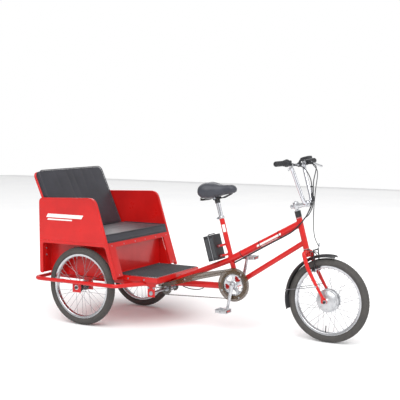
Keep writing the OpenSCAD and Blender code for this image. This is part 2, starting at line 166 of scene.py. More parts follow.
def bent(points, reach, n=7, closed=False):
    """Straight runs joined by bends: each corner B becomes (1-t)^2 A + 2t(1-t) B + t^2 C, with A and C on the
    runs at the reach from it."""
    p = np.asarray(points, float)
    reach = np.array(np.broadcast_to(np.asarray(reach, float), len(p)))
    before, after = np.roll(p, 1, 0), np.roll(p, -1, 0)
    if not closed:
        reach[[0, -1]] = 0.0
        before[0], after[-1] = p[1], p[-2]
    a = p + reach[:, None] * unit(before - p)
    c = p + reach[:, None] * unit(after - p)
    t = np.linspace(0, 1, n)[None, :, None]
    path = (1 - t) ** 2 * a[:, None] + 2 * t * (1 - t) * p[:, None] + t**2 * c[:, None]
    path = path.reshape(-1, p.shape[1])
    keep = np.linalg.norm(path - np.roll(path, 1, 0), axis=1) > 1e-6
    keep[0] = True
    return path[keep]


def denser(path, step, closed=False):
    """Points every step along a path, by linear interpolation on its running length."""
    path = np.vstack([path, path[:1]]) if closed else path
    run = np.concatenate([[0.0], np.cumsum(np.linalg.norm(np.diff(path, axis=0), axis=1))])
    count = max(2, int(round(run[-1] / step)) + (0 if closed else 1))
    at = np.linspace(0, run[-1], count, endpoint=not closed)
    return np.stack([np.interp(at, run, path[:, k]) for k in range(path.shape[1])], -1)


def grid_faces(rows, cols, wrap):
    """Quads between neighbouring rows and columns of a grid, wrapped where asked."""
    i = np.arange(rows if wrap[0] else rows - 1)[:, None]
    j = np.arange(cols if wrap[1] else cols - 1)[None, :]
    i2, j2 = (i + 1) % rows, (j + 1) % cols
    return np.stack([i * cols + j, i * cols + j2, i2 * cols + j2, i2 * cols + j], -1).reshape(-1, 4)


def surface(points, wrap=(False, True), caps=False, flat=False):
    """A grid of points as (vertices, faces). Caps close the first and last row, with a fan about the row's
    centre or, where flat, with one face."""
    rows, cols = points.shape[:2]
    verts = points.reshape(-1, 3)
    faces = [grid_faces(rows, cols, wrap)]
    if caps:
        rings = np.array([[0], [rows - 1]]) * cols + np.arange(cols)
        if flat:
            faces.append(rings)
        else:
            tips = len(verts) + np.array([[0], [1]])
            verts = np.vstack([verts, points[0].mean(0), points[-1].mean(0)])
            fan = np.stack([rings, np.roll(rings, -1, 1), np.broadcast_to(tips, rings.shape)], -1)
            faces.append(fan.reshape(-1, 3))
    return verts, faces


def joined(*parts):
    """Several (vertices, faces) as one."""
    verts, faces, base = [], [], 0
    for v, f in parts:
        verts.append(v)
        faces += [k + base for k in f]
        base += len(v)
    return np.vstack(verts), faces


def basis(direction):
    """Matrices whose third column is the direction and whose other two are square to it."""
    w = unit(np.atleast_2d(np.asarray(direction, float)))
    helper = np.where(np.abs(w[:, 2:]) < 0.9, Z, X)
    u = unit(np.cross(helper, w))
    return np.stack([u, np.cross(w, u), w], -1)


def moved(part, offset, turn=np.eye(3), scale=(1, 1, 1)):
    """A part scaled, turned by a matrix and moved: point = turn (scale v) + offset."""
    return (part[0] * scale) @ turn.T + np.asarray(offset, float), part[1]


def placed(part, centre, direction=Z):
    """A part turned so that its Z axis points in a direction, and moved to a centre."""
    return moved(part, centre, basis(direction)[0])


def both_ends(part, centre, out):
    """A part at both ends of an axle along Y, at a distance out from the centre, facing outwards."""
    return joined(*[placed(part, centre + s * out * Y, s * Y) for s in (1, -1)])


def repeated(part, centres, turns):
    """Copies of a part: vertex v of copy k is turns[k] v + centres[k]."""
    v, faces = part
    centres = np.asarray(centres, float)
    turns = np.broadcast_to(turns, (len(centres), 3, 3))
    base = np.arange(len(centres))[:, None, None] * len(v)
    verts = np.einsum("kij,nj->kni", turns, v) + centres[:, None]
    return verts.reshape(-1, 3), [(f[None] + base).reshape(-1, f.shape[1]) for f in faces]


def mirrored(part, flip=(1, -1, 1)):
    """The part and its mirror image, across the plane Y = 0 unless told otherwise."""
    return joined(part, (part[0] * flip, part[1]))


def lathe(profile, m=48, wrap=False):
    """Surface of revolution about Z: (r cos a, r sin a, h) for each (r, h) of the profile."""
    a = around(m)
    r, h = np.asarray(profile, float).T
    points = np.stack([r[:, None] * np.cos(a), r[:, None] * np.sin(a), h[:, None] + 0 * a], -1)
    return surface(points, (wrap, True), caps=not wrap)


def tube(path, radius, m=14, side=Z, closed=False, ring=None, dome=0.4):
    """A ring carried along a path: point = path + r (c u + s v), with u and v square to the path. Open ends
    are rounded: dome 1 is a half sphere."""
    path = np.asarray(path, float)
    ahead, behind = np.roll(path, -1, 0), np.roll(path, 1, 0)
    if not closed:
        ahead[-1], behind[0] = path[-1], path[0]
    t = unit(ahead - behind)
    r = np.array(np.broadcast_to(radius, len(path)), float)
    if not closed and dome:
        b = np.radians([82.0, 60.0, 30.0])
        path = np.vstack([path[0] - t[0] * (r[0] * dome * np.sin(b))[:, None], path,
                          path[-1] + t[-1] * (r[-1] * dome * np.sin(b[::-1]))[:, None]])
        r = np.concatenate([r[0] * np.cos(b), r, r[-1] * np.cos(b[::-1])])
        t = np.vstack([t[[0, 0, 0]], t, t[[-1, -1, -1]]])
    u = unit(np.cross(t, side))
    v = np.cross(t, u)
    ring = oval(1.0, 1.0, m) if ring is None else ring
    points = path[:, None] + r[:, None, None] * (ring[None, :, :1] * u[:, None] + ring[None, :, 1:]
                                                 * v[:, None])
    return surface(points, (closed, True), caps=not closed)


def plate(outline, steps):
    """A closed outline carried through (inset, height) steps along Z: each point moves inwards along the
    outline's own normal by the inset."""
    p = np.asarray(outline, float)
    along = unit(np.roll(p, -1, 0) - np.roll(p, 1, 0))
    out = np.stack([along[:, 1], -along[:, 0]], -1)
    area = np.sum(p[:, 0] * np.roll(p[:, 1], -1) - np.roll(p[:, 0], -1) * p[:, 1])
    out = out * (1 if area > 0 else -1)
    inset, height = np.asarray(steps, float).T
    flat = p[None] - inset[:, None, None] * out[None]
    points = np.concatenate([flat, np.broadcast_to(height[:, None, None], flat.shape[:2] + (1,))], -1)
    return surface(points, (False, True), caps=True, flat=True)


def rounded(width, height, corner, n=5):
    """Outline of a rectangle with round corners."""
    w, h = width / 2, height / 2
    return bent([[-w, -h], [w, -h], [w, h], [-w, h]], corner, n, closed=True)


def edge(thick, radius, n=4):
    """Steps of a plate whose two edges are rounded: inset = r (1 - cos b), height = r sin b."""
    b = np.linspace(0, math.pi / 2, n)
    inset, rise = radius * (1 - np.sin(b)), radius * (1 - np.cos(b))
    low = np.stack([inset, rise], -1)
    return np.vstack([low, np.stack([inset, thick - rise], -1)[::-1]])


def egg(size, power=0.5, m=24, n=14):
    """Superellipsoid: cosines and sines raised to a power, which squares the corners as it falls."""
    a = around(m)[None]
    b = np.linspace(-math.pi / 2, math.pi / 2, n)[:, None]
    level = bow(np.cos(b), power)
    points = np.stack([level * bow(np.cos(a), power), level * bow(np.sin(a), power),
                       bow(np.sin(b), power) + 0 * a], -1)
    return surface(points * np.asarray(size, float) / 2, (False, True))


def block(lo, hi, power=0.18):
    """A rounded block between two corners."""
    lo, hi = np.asarray(lo, float), np.asarray(hi, float)
    v, f = egg(hi - lo, power, 28, 14)
    return v + (lo + hi) / 2, f


DOME = [(0.0, 1.0), (0.35, 0.95), (0.7, 0.72), (0.93, 0.35), (1.0, 0.0), (1.0, -0.3)]


def domes(centres, direction, radius, height, m=10):
    """Round rivet heads: a quarter-ellipse profile turned about each centre."""
    profile = [(radius * r, height * h) for r, h in DOME]
    return repeated(lathe(profile, m), centres, basis(direction))


def bolts(centres, direction, radius, height):
    """Hexagon heads on washers, chamfered on top."""
    head = lathe([(radius * 0.8, height), (radius, height * 0.86), (radius, 0.0)], 6)
    washer = lathe([(radius * 1.3, height * 0.25), (radius * 1.35, 0.0)], 16)
    return repeated(joined(head, washer), centres, basis(direction))


def seam(a0, along, r, b0, across, big, m=40):
    """Closed curve where a thin tube meets a thick one: on the thin tube's skin at each angle, slid along its
    axis until it lies at the thick tube's radius, the nearer root of a quadratic."""
    d, e = unit(np.asarray(along, float)), unit(np.asarray(across, float))
    frame3 = basis(d)[0]
    a = around(m)[:, None]
    base = a0 + r * (np.cos(a) * frame3[:, 0] + np.sin(a) * frame3[:, 1])
    p = base - b0
    p = p - (p @ e)[:, None] * e
    q = d - (d @ e) * e
    A, B, C = q @ q, 2 * p @ q, np.sum(p * p, 1) - big**2
    s = (-B - np.sqrt(np.maximum(B * B - 4 * A * C, 0))) / (2 * A)
    return base + s[:, None] * d


def bead(curve, radius, side, closed=True):
    """A weld bead: a small tube whose radius rises and falls along it like laid drops."""
    path = denser(curve, 2.2, closed)
    ripple = radius * (1 + 0.16 * np.sin(np.arange(len(path)) * 2.1))
    return tube(path, ripple, 6, side, closed)


# ------------------------------------------------------------------ materials
def linear(code):
    """An sRGB hex colour as linear red, green, blue and 1."""
    c = np.array([int(code[k:k + 2], 16) for k in (1, 3, 5)]) / 255.0
    c = np.where(c <= 0.04045, c / 12.92, ((c + 0.055) / 1.055) ** 2.4)
    return (*[float(v) for v in c], 1.0)


def add(tree, kind, settings=(), **inputs):
    """Adds one shader node: settings are its properties, inputs its values or the sockets that feed it."""
    node = tree.nodes.new("ShaderNode" + kind)
    for key, value in dict(settings).items():
        setattr(node, key, value)
    for key, value in inputs.items():
        socket = node.inputs[key.replace("_", " ")]
        if isinstance(value, bpy.types.NodeSocket):
            tree.links.new(value, socket)
        else:
            socket.default_value = value
    return node


def finish(name, colour, second, patch, rough, spread=0.06, relief=(), stretch=(1, 1, 1), streak=None,
           **shader):
    """A surface finish. Colour drifts between two tones over patches of the given size, and roughness
    drifts with it. Relief is (pattern, size, height), each laid on the one before, and stretch draws the
    patterns out along an axis. A streak is (colour, size, cover) of marks or dust. All in millimetres."""
    if name in bpy.data.materials:
        return bpy.data.materials[name]
    material = bpy.data.materials.new(name)
    material.use_nodes = True
    tree = material.node_tree
    tree.nodes.clear()
    where = add(tree, "TexCoord").outputs["Object"]
    laid = add(tree, "Mapping", Vector=where, Scale=stretch).outputs["Vector"]
    drift = add(tree, "TexNoise", Vector=laid, Scale=1000 / patch, Detail=5.0, Roughness=0.6).outputs["Fac"]
    level = add(tree, "MapRange", Value=drift, From_Min=0.32, From_Max=0.68).outputs["Result"]
    tone = add(tree, "MixRGB", Fac=level, Color1=linear(colour), Color2=linear(second)).outputs["Color"]
    if streak:
        marks = add(tree, "TexNoise", Vector=where, Scale=1000 / streak[1], Detail=8.0, Roughness=0.7)
        cover = add(tree, "MapRange", Value=marks.outputs["Fac"], From_Min=0.56, From_Max=0.74,
                    To_Max=streak[2])
        tone = add(tree, "MixRGB", Fac=cover.outputs["Result"], Color1=tone,
                   Color2=linear(streak[0])).outputs["Color"]
    gloss = add(tree, "MapRange", Value=drift, From_Min=0.3, From_Max=0.7, To_Min=rough - spread,
                To_Max=rough + spread).outputs["Result"]
    skin = {"Base_Color": tone, "Roughness": gloss}
    for pattern, size, height in relief:
        if pattern == "cells":
            bumps = add(tree, "TexVoronoi", {"feature": "SMOOTH_F1"}, Vector=laid,
                        Scale=1000 / size).outputs["Distance"]
        elif pattern == "lines":
            bumps = add(tree, "TexWave", {"bands_direction": "X"}, Vector=laid, Scale=1000 / size / 6.2832,
                         Distortion=0.4).outputs["Fac"]
        else:
            bumps = add(tree, "TexNoise", Vector=laid, Scale=1000 / size, Detail=3.0).outputs["Fac"]
        bump = add(tree, "Bump", Height=bumps, Strength=1.0, Distance=height / 1000)
        if "Normal" in skin:
            tree.links.new(skin["Normal"], bump.inputs["Normal"])
        skin["Normal"] = bump.outputs["Normal"]
    shade = add(tree, "BsdfPrincipled", **skin, **shader)
    add(tree, "OutputMaterial", Surface=shade.outputs["BSDF"])
    material.diffuse_color = linear(colour)
    return material


def red_enamel():
    """Baked gloss enamel on steel: a deep even red under a clear wet-looking coat, faintly orange-peeled."""
    looks = bpy.context.scene.rickshaw_colours
    return finish("baked_red_enamel", to_hex(looks.enamel), "#BC0E0C", 160.0, 0.32, 0.05,
                  [("peel", 3.0, 0.05)], Specular_IOR_Level=0.35, Coat_Weight=0.3, Coat_Roughness=0.06,
                  streak=("#8E0F0F", 9.0, 0.10))


def black_vinyl():
    """Embossed upholstery vinyl: charcoal, its soft sheen broken up by a pebbled grain 2.5 mm wide."""
    looks = bpy.context.scene.rickshaw_colours
    return finish("embossed_black_vinyl", to_hex(looks.vinyl), "#34343C", 110.0, 0.46, 0.06,
                  [("cells", 2.6, 0.32), ("fold", 28.0, 0.9)], Specular_IOR_Level=0.5, Sheen_Weight=0.12,
                  Sheen_Roughness=0.4, streak=("#55555F", 60.0, 0.25))


def saddle_skin():
    """Moulded saddle cover: dark blue-grey, finer grain and a rounder gloss than the bench."""
    return finish("moulded_saddle_cover", "#30323A", "#3B3D46", 60.0, 0.42, 0.05,
                  [("cells", 1.6, 0.12)], Sheen_Weight=0.1, streak=("#5A5C66", 40.0, 0.2))


def mat_rubber():
    """Ribbed floor rubber: flat black with scuffs and a light bloom between its ribs."""
    return finish("extruded_mat_rubber", "#2B2C30", "#3A3B3F", 80.0, 0.66, 0.08,
                  [("pores", 1.5, 0.10)], streak=("#5E5C58", 22.0, 0.35))


def tyre_rubber():
    """Vulcanised tread rubber: dark warm grey, matt, with fine mould texture and dry dust in patches."""
    return finish("vulcanised_tyre_rubber", "#3E3C3B", "#4B4845", 45.0, 0.74, 0.07,
                  [("pores", 1.2, 0.10), ("mould", 9.0, 0.25)], streak=("#6A665E", 26.0, 0.35))


def chrome():
    """Bright chrome plate on bent steel: mirror-like, with the faintest ripple from the tube."""
    return finish("plated_chrome", "#D9DADF", "#C9CAD0", 50.0, 0.12, 0.04, [("ripple", 30.0, 0.12)],
                  Metallic=1.0, streak=("#8F8F92", 6.0, 0.12))


def polished_alloy():
    """Polished aluminium: pale and satin, brushed along its length so highlights stretch."""
    return finish("polished_aluminium", "#D4D5D8", "#BFC0C4", 30.0, 0.26, 0.06, [("brush", 1.2, 0.03)],
                  stretch=(1, 6, 1), Metallic=1.0, streak=("#8C8D90", 8.0, 0.18))


def cast_alloy():
    """Silver lacquer on cast aluminium: brighter and softer than bare metal, over the casting's grain."""
    return finish("lacquered_cast_aluminium", "#CBCCCE", "#B9BABD", 24.0, 0.34, 0.06, [("grain", 1.8, 0.08)],
                  Metallic=0.85, Coat_Weight=0.3, Coat_Roughness=0.15, streak=("#9A9A9A", 10.0, 0.2))


def drawn_steel():
    """Drawn stainless wire: bright lines that catch the light."""
    return finish("drawn_stainless_wire", "#A4A6AA", "#8C8E93", 12.0, 0.24, 0.05, [("die", 1.0, 0.02)],
                  Metallic=1.0)


def zinc():
    """Zinc-plated fasteners: greyish, slightly mottled crystals."""
    return finish("zinc_plate", "#B7BABF", "#9A9DA3", 5.0, 0.34, 0.08, [("crystal", 1.4, 0.05)], Metallic=1.0)


def chain_steel():
    """Oiled chain steel: dark, wet in the hollows and rubbed bright on the plates."""
    return finish("oiled_chain_steel", "#4A4745", "#77736E", 7.0, 0.36, 0.12, [("grit", 1.2, 0.05)],
                  Metallic=0.9, streak=("#2A2018", 5.0, 0.5))


def black_abs():
    """Moulded ABS with a spark-eroded texture: deep grey-black with a soft broken gloss."""
    return finish("moulded_black_abs", "#1E1F22", "#2A2B2F", 40.0, 0.44, 0.06, [("spark", 1.1, 0.06)],
                  streak=("#4B4B4F", 14.0, 0.18))


def black_enamel():
    """Satin black enamel on steel: an even half gloss with worn grey at the odd scuff."""
    return finish("satin_black_enamel", "#141416", "#1D1D20", 50.0, 0.34, 0.06, [("peel", 2.5, 0.04)],
                  Coat_Weight=0.25, Coat_Roughness=0.2, streak=("#5A5A5C", 11.0, 0.16))


def black_pvc():
    """Extruded PVC sheath: smooth black with a waxy line of light."""
    return finish("extruded_black_pvc", "#17181B", "#222327", 35.0, 0.36, 0.05, [("draw", 2.0, 0.05)],
                  streak=("#3C3C40", 18.0, 0.2))


def grip_rubber():
    """Moulded thermoplastic rubber: black, dry to the eye, slightly polished where it is held."""
    return finish("moulded_grip_rubber", "#1B1B1D", "#29292C", 18.0, 0.6, 0.1, [("pores", 1.0, 0.08)])


def smoke_guard():
    """Smoked polycarbonate: a clear glossy sheet tinted olive brown that darkens what lies behind it."""
    material = finish("smoked_polycarbonate", "#46341F", "#574229", 70.0, 0.16, 0.05, [("flow", 40.0, 0.2)],
                      Alpha=0.66, Coat_Weight=0.2, Coat_Roughness=0.05, IOR=1.58,
                      streak=("#8A7C64", 12.0, 0.2))
    material.surface_render_method = "BLENDED"
    return material


def white_film():
    """Cut white vinyl film: flat, bright and slightly less glossy than the enamel round it."""
    return finish("cut_white_film", "#F2F1EE", "#E6E4DF", 40.0, 0.34, 0.05, [("film", 6.0, 0.03)],
                  streak=("#C9B8B0", 9.0, 0.15))


def seal_strip():
    """Grey moulded seal between two case halves."""
    return finish("grey_moulded_seal", "#A9ABAF", "#8F9196", 14.0, 0.42, 0.06, [("pores", 1.5, 0.05)])


def red_lens():
    """Pressed red acrylic: bright, with prism cells 3 mm across."""
    return finish("pressed_red_acrylic", "#C21A16", "#96100E", 9.0, 0.16, 0.04, [("cells", 3.0, 0.6)],
                  Coat_Weight=0.6, Coat_Roughness=0.03)


def dark_glass():
    """Hard-coated display window: blue-black and very smooth."""
    return finish("hard_coated_window", "#11151A", "#1B222A", 30.0, 0.08, 0.03, [("flow", 15.0, 0.04)],
                  Coat_Weight=0.8, Coat_Roughness=0.03)


def studio_floor():
    """Matt painted studio floor: warm white, without sheen."""
    return finish("matt_studio_floor", "#FEFEFE", "#FAFAFB", 900.0, 0.92, 0.03, [("roller", 14.0, 0.04)])


def to_hex(colour):
    """A colour property as an sRGB hex code."""
    c = np.clip(np.array(colour[:3]), 0, 1)
    c = np.where(c <= 0.0031308, c * 12.92, 1.055 * c ** (1 / 2.4) - 0.055)
    return "#%02X%02X%02X" % tuple(int(round(v * 255)) for v in c)


# ------------------------------------------------------------------ pieces
def mesh_of(name, part):
    """Puts (vertices, faces) in millimetres into a mesh in the row frame, in metres."""
    verts, faces = part
    mesh = bpy.data.meshes.new(name)
    sizes = np.concatenate([np.full(len(f), f.shape[1]) for f in faces])
    loops = np.concatenate([f.ravel() for f in faces]).astype(np.int32)
    mesh.vertices.add(len(verts))
    mesh.vertices.foreach_set("co", ((verts - MIDDLE) / 1000).astype(np.float32).ravel())
    mesh.loops.add(len(loops))
    mesh.loops.foreach_set("vertex_index", loops)
    mesh.polygons.add(len(sizes))
    mesh.polygons.foreach_set("loop_start", np.concatenate([[0], np.cumsum(sizes)[:-1]]).astype(np.int32))
    mesh.update(calc_edges=True)
    mesh.validate()
    return mesh


def piece(name, part, material, body, slot, *nodes, sharp=38.0):
    """Makes one piece that rides on a body: doubles merged, faces turned outwards, edges over the sharp angle
    kept crisp. It stands for the CAD nodes named. With no body, it is left loose in the scene."""
    mesh = mesh_of(name, part)
    shell = bmesh.new()
    shell.from_mesh(mesh)
    bmesh.ops.remove_doubles(shell, verts=shell.verts, dist=2e-6)
    bmesh.ops.dissolve_degenerate(shell, edges=shell.edges, dist=1e-7)
    bmesh.ops.recalc_face_normals(shell, faces=shell.faces)
    shell.to_mesh(mesh)
    shell.free()
    mesh.shade_smooth()
    mesh.set_sharp_from_angle(angle=math.radians(sharp))
    mesh.materials.append(material)
    obj = bpy.data.objects.new(name, mesh)
    bpy.context.scene.collection.objects.link(obj)
    if body:
        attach(obj, body)
    if nodes:
        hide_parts(*nodes)
    return obj


def soften(obj, width):
    """Rounds the edges over 40 degrees by a live bevel, width in millimetres."""
    bevel = obj.modifiers.new("edge_radius", "BEVEL")
    bevel.width = width / 1000
    bevel.segments = 3
    bevel.limit_method = "ANGLE"
    bevel.angle_limit = math.radians(40)
    bevel.harden_normals = True


def painted(material, *nodes, radius=0.0):
    """Gives CAD nodes a finish and, where asked, a folded-sheet edge radius in millimetres."""
    for node in nodes:
        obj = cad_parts[node]
        obj.data.materials.clear()
        obj.data.materials.append(material)
        if radius:
            weld = obj.modifiers.new("one_skin", "WELD")
            weld.merge_threshold = 0.00001
            soften(obj, radius)


def swell(obj, held, pressure, most, frames=20, voxel=0.008):
    """Pads a soft shape: voxel remesh, cloth pressure against its held points, movement capped, then one
    subdivision. Held points are where held(x, y, z) in drawing millimetres is 1."""
    scene = bpy.context.scene
    bpy.context.view_layer.objects.active = obj
    remesh = obj.modifiers.new("even_mesh", "REMESH")
    remesh.mode = "VOXEL"
    remesh.voxel_size = voxel
    bake(obj)
    count = len(obj.data.vertices)
    rest = np.empty(count * 3, np.float32)
    obj.data.vertices.foreach_get("co", rest)
    rest = rest.reshape(-1, 3).astype(float)
    weight = held(*(rest * 1000 + MIDDLE).T)
    group = obj.vertex_groups.new(name="sewn")
    for level in np.unique(np.round(weight, 1)):
        group.add(np.nonzero(np.round(weight, 1) == level)[0].tolist(), float(level), "REPLACE")
    cloth = obj.modifiers.new("pressure", "CLOTH")
    rules = cloth.settings
    rules.quality = 6
    rules.mass = 0.4
    rules.tension_stiffness = rules.compression_stiffness = 18.0
    rules.shear_stiffness = 8.0
    rules.bending_stiffness = 2.0
    rules.use_pressure = True
    rules.uniform_pressure_force = pressure
    rules.vertex_group_mass = "sewn"
    rules.pin_stiffness = 1.0
    rules.effector_weights.gravity = 0.0
    cloth.collision_settings.use_collision = False
    cloth.point_cache.frame_start = 1
    cloth.point_cache.frame_end = frames + 1
    for number in range(1, frames + 1):
        scene.frame_set(number)
    moved = np.empty(count * 3, np.float32)
    shown = obj.evaluated_get(bpy.context.evaluated_depsgraph_get())
    shown.data.vertices.foreach_get("co", moved)
    obj.modifiers.remove(cloth)
    scene.frame_set(1)
    step = moved.reshape(-1, 3) - rest
    far = np.linalg.norm(step, axis=1, keepdims=True)
    step *= np.minimum(1.0, most / 1000 / np.maximum(far, 1e-9))
    obj.data.vertices.foreach_set("co", (rest + step).astype(np.float32).ravel())
    obj.data.update()
    finer = obj.modifiers.new("finer", "SUBSURF")
    finer.levels = finer.render_levels = 1
    bake(obj)


def bake(obj):
    """Makes an object's modifiers part of its mesh."""
    shown = obj.evaluated_get(bpy.context.evaluated_depsgraph_get())
    mesh = bpy.data.meshes.new_from_object(shown)
    obj.modifiers.clear()
    obj.data = mesh
    mesh.shade_smooth()


# ------------------------------------------------------------------ shapes of this vehicle
def upright(part, y, sign=1.0):
    """A part drawn in X and Z and raised along its third axis, stood up at a Y."""
    v, f = part
    return np.stack([v[:, 0], y + sign * v[:, 2], v[:, 1]], -1), f


def sideways(part, x):
    """A part drawn in Y and Z and raised along its third axis, stood up at an X."""
    v, f = part
    return np.stack([v[:, 2] + x, v[:, 0], v[:, 1]], -1), f


def raised(x, gap, soft=0.07):
    """A row of blocks one unit apart: 1 on a block and 0 in the gap between, with soft shoulders."""
    return smooth((0.5 - gap / 2 - np.abs(x - np.floor(x) - 0.5)) / soft)


def tyre_shape(knobs, depth, ribbed):
    """A torus cut open at the rim. Its section radius drops by the tread depth between blocks: one row on the
    crown, one on each shoulder half a step on, and one of edge lugs."""
    turn = around(knobs * 10)[:, None]
    angle = np.linspace(-128, 128, 45)[None]
    f, u = np.abs(angle), turn / TURN * knobs
    band = lambda a, b: smooth((f - a) / 2.0) * smooth((b - f) / 2.0)
    if ribbed:
        high = band(-5, 10) + band(14, 29) * raised(u, 0.16) + band(33, 52) * raised(u + 0.5, 0.26)
    else:
        high = band(-5, 16) * raised(u, 0.30) + band(20, 40) * raised(u + 0.5, 0.30)
        high = high + band(44, 64) * raised(u, 0.42)
    drop = depth * (1 - np.clip(high, 0, 1)) * smooth((76 - f) / 8.0)
    r = 26.0 - drop + 0.5 * np.exp(-((f - 98) / 3.0) ** 2) + 0.35 * np.exp(-((f - 112) / 2.5) ** 2)
    a = np.radians(angle)
    reach, across = 228.0 + r * np.cos(a), r * np.sin(a)
    inner = np.array([[212.6, 13.5], [213.4, 5.0], [213.4, -5.0], [212.6, -13.5]])
    reach = np.concatenate([reach, np.broadcast_to(inner[:, 0], (len(turn), 4))], 1)
    across = np.concatenate([across, np.broadcast_to(inner[:, 1], (len(turn), 4))], 1)
    return surface(np.stack([reach * np.cos(turn), reach * np.sin(turn), across], -1), (True, True))


def hoop_shape():
    """Box-section rim: the outline of braking walls, hooked edges and spoke bed turned about the axle."""
    half = np.array([[202.5, 0], [203.5, 9], [206.0, 12.5], [210.4, 13.2], [211.0, 14.6], [210.6, 16.6],
                     [209.0, 17.0], [207.8, 16.4], [199.0, 15.9], [196.5, 14.0], [193.4, 8.0], [192.6, 0]])
    outline = np.vstack([half, half[-2:0:-1] * [1, -1]])
    return lathe(outline, 120, wrap=True)


def spoke_ends(count, flange, across, sweep):
    """Both ends of each spoke. The hub end is sweep degrees round from its rim end, ahead or behind it."""
    k = np.arange(count)
    side = np.where(k % 2 == 0, 1.0, -1.0)
    lead = np.where(k // 2 % 2 == 0, 1.0, -1.0)
    a = TURN * k / count
    b = a + lead * math.radians(sweep)
    hub = np.stack([flange * np.cos(b), flange * np.sin(b), side * (across + lead * 2.4)], -1)
    rim = np.stack([193.5 * np.cos(a), 193.5 * np.sin(a), side * 3.5], -1)
    return hub, rim


def spokes_shape(count, flange, across, sweep, radius):
    """Straight wires from hub to rim, each with a head at the flange."""
    hub, rim = spoke_ends(count, flange, across, sweep)
    run = rim - hub
    stretched = basis(run)
    stretched[:, :, 2] *= np.linalg.norm(run, axis=1)[:, None]
    wires = repeated(lathe([(radius, 0.0), (radius, 1.0)], 6), hub, stretched)
    return joined(wires, domes(hub, Z, 2.4, 1.4, 8))


def nipples_shape(count, flange, across, sweep):
    """Tapered nuts that pull each spoke up to the rim."""
    hub, rim = spoke_ends(count, flange, across, sweep)
    way = unit(rim - hub)
    nut = lathe([(1.2, -13.0), (1.8, -11.5), (1.9, -3.0), (2.9, -1.5), (3.1, 1.0)], 8)
    return repeated(nut, rim, basis(way))


def on_axle(part, centre):
    """A wheel part, made about its Z axis, stood on an axle along Y."""
    return placed(part, centre, Y)


WHEELS = {
    "right": ("right_wheel", np.array([0.0, -HALF_TRACK, AXLE_H])),
    "left": ("left_wheel", np.array([0.0, HALF_TRACK, AXLE_H])),
    "front": ("front_wheel", FRONT_AXLE),
}


def side_outline():
    """A bench side in X and Z: armrest, sloping front leg and rear leg round the wheel opening."""
    rear = -331.0
    points = [[rear, 318], [rear, 818], [panel_front(832), 832], [panel_front(318.5), 318.5],
              [panel_front(318.5) - 25, 318.5], [panel_front(520) - 25, 520], [rear + 27, 520],
              [rear + 27, 318]]
    return bent(points, [17, 34, 52, 9, 9, 14, 14, 9], 9, closed=True)


BACK_UP = unit(np.array([-RAKE, 0.0, 1.0]))
BACK_OUT = unit(np.array([1.0, 0.0, RAKE]))


def raked(part, z):
    """A part drawn across (Y) and up the backrest, raised forwards square to it, set at height z."""
    return moved(part, [back_face(z), 0.0, z], np.stack([Y, BACK_UP, BACK_OUT], -1))


def saddle_shape():
    """Sections across the saddle from tail to nose. Half width, crown and skirt are smooth curves of the way
    forward; each section is a rounded dome with a tucked-in skirt and a shallow groove along its middle."""
    s = np.concatenate([[0.0, 0.006, 0.02, 0.045, 0.08], np.linspace(0.12, 0.9, 26),
                        [0.93, 0.96, 0.98, 0.993, 1.0]])
    knots = [0.0, 0.02, 0.08, 0.18, 0.32, 0.45, 0.6, 0.75, 0.9, 0.97, 1.0]
    wide = np.interp(s, knots, [46, 90, 104, 105, 97, 72, 47, 37, 33, 23, 5])
    crown = np.interp(s, knots, [896, 914, 929, 937, 933, 925, 920, 922, 922, 911, 893])
    skirt = np.interp(s, knots, [868, 846, 833, 829, 829, 840, 853, 862, 868, 875, 888])
    soft = np.ones(5) / 5
    wide, crown, skirt = (np.concatenate([c[:2], np.convolve(c, soft, "same")[2:-2], c[-2:]])
                          for c in (wide, crown, skirt))
    a = around(40)[None]
    c, d = np.cos(a), np.sin(a)
    y = bow(c, 0.72) * wide[:, None]
    y = y * np.where(d < 0, 1 - 0.16 * np.abs(d), 1.0)
    middle = (skirt + (crown - skirt) * 0.42)[:, None]
    over, under = crown[:, None] - middle, middle - skirt[:, None]
    z = middle + np.where(d > 0, over * np.abs(d) ** 0.78, -under * np.abs(d) ** 0.6)
    z = z - 3.5 * np.exp(-((y / 11.0) ** 2)) * smooth(d * 2) * smooth((0.62 - s[:, None]) / 0.2)
    x = 701.0 + 242.0 * s[:, None] + 0 * a
    return surface(np.stack([x, y, z], -1), caps=True)


def sprocket_shape(pitch_r, teeth, inner, thick, tooth=4.2):
    """A toothed ring: the outer radius rises and falls once a tooth, and the sides taper towards the tips."""
    a = around(teeth * 8)[:, None]
    wave = 0.5 + 0.5 * np.cos(a * teeth)
    tip = pitch_r - 3.0 + tooth * smooth(wave * 1.3 - 0.1)
    rows = np.array([[0.0, -0.5], [0.78, -0.5], [1.0, -0.22], [1.0, 0.22], [0.78, 0.5], [0.0, 0.5]])
    r = inner + (tip - inner) * rows[None, :, 0]
    points = np.stack([r * np.cos(a), r * np.sin(a), thick * rows[None, :, 1] + 0 * a], -1)
    return surface(points, (True, True))


def chain_path(a, ra, b, rb, y):
    """Closed loop round two sprockets in X and Z: an arc on each and the straight runs that touch both."""
    a, b = np.array([a[0], a[2]]), np.array([b[0], b[2]])
    gap = b - a
    lean = math.atan2(gap[1], gap[0])
    spread = math.acos((ra - rb) / np.linalg.norm(gap))
    arc_a = np.linspace(lean + spread, lean + TURN - spread, 60)[:, None]
    arc_b = np.linspace(lean - spread, lean + spread, 40)[:, None]
    flat = np.vstack([a + ra * np.hstack([np.cos(arc_a), np.sin(arc_a)]),
                      b + rb * np.hstack([np.cos(arc_b), np.sin(arc_b)])])
    return np.stack([flat[:, 0], np.full(len(flat), y), flat[:, 1]], -1)


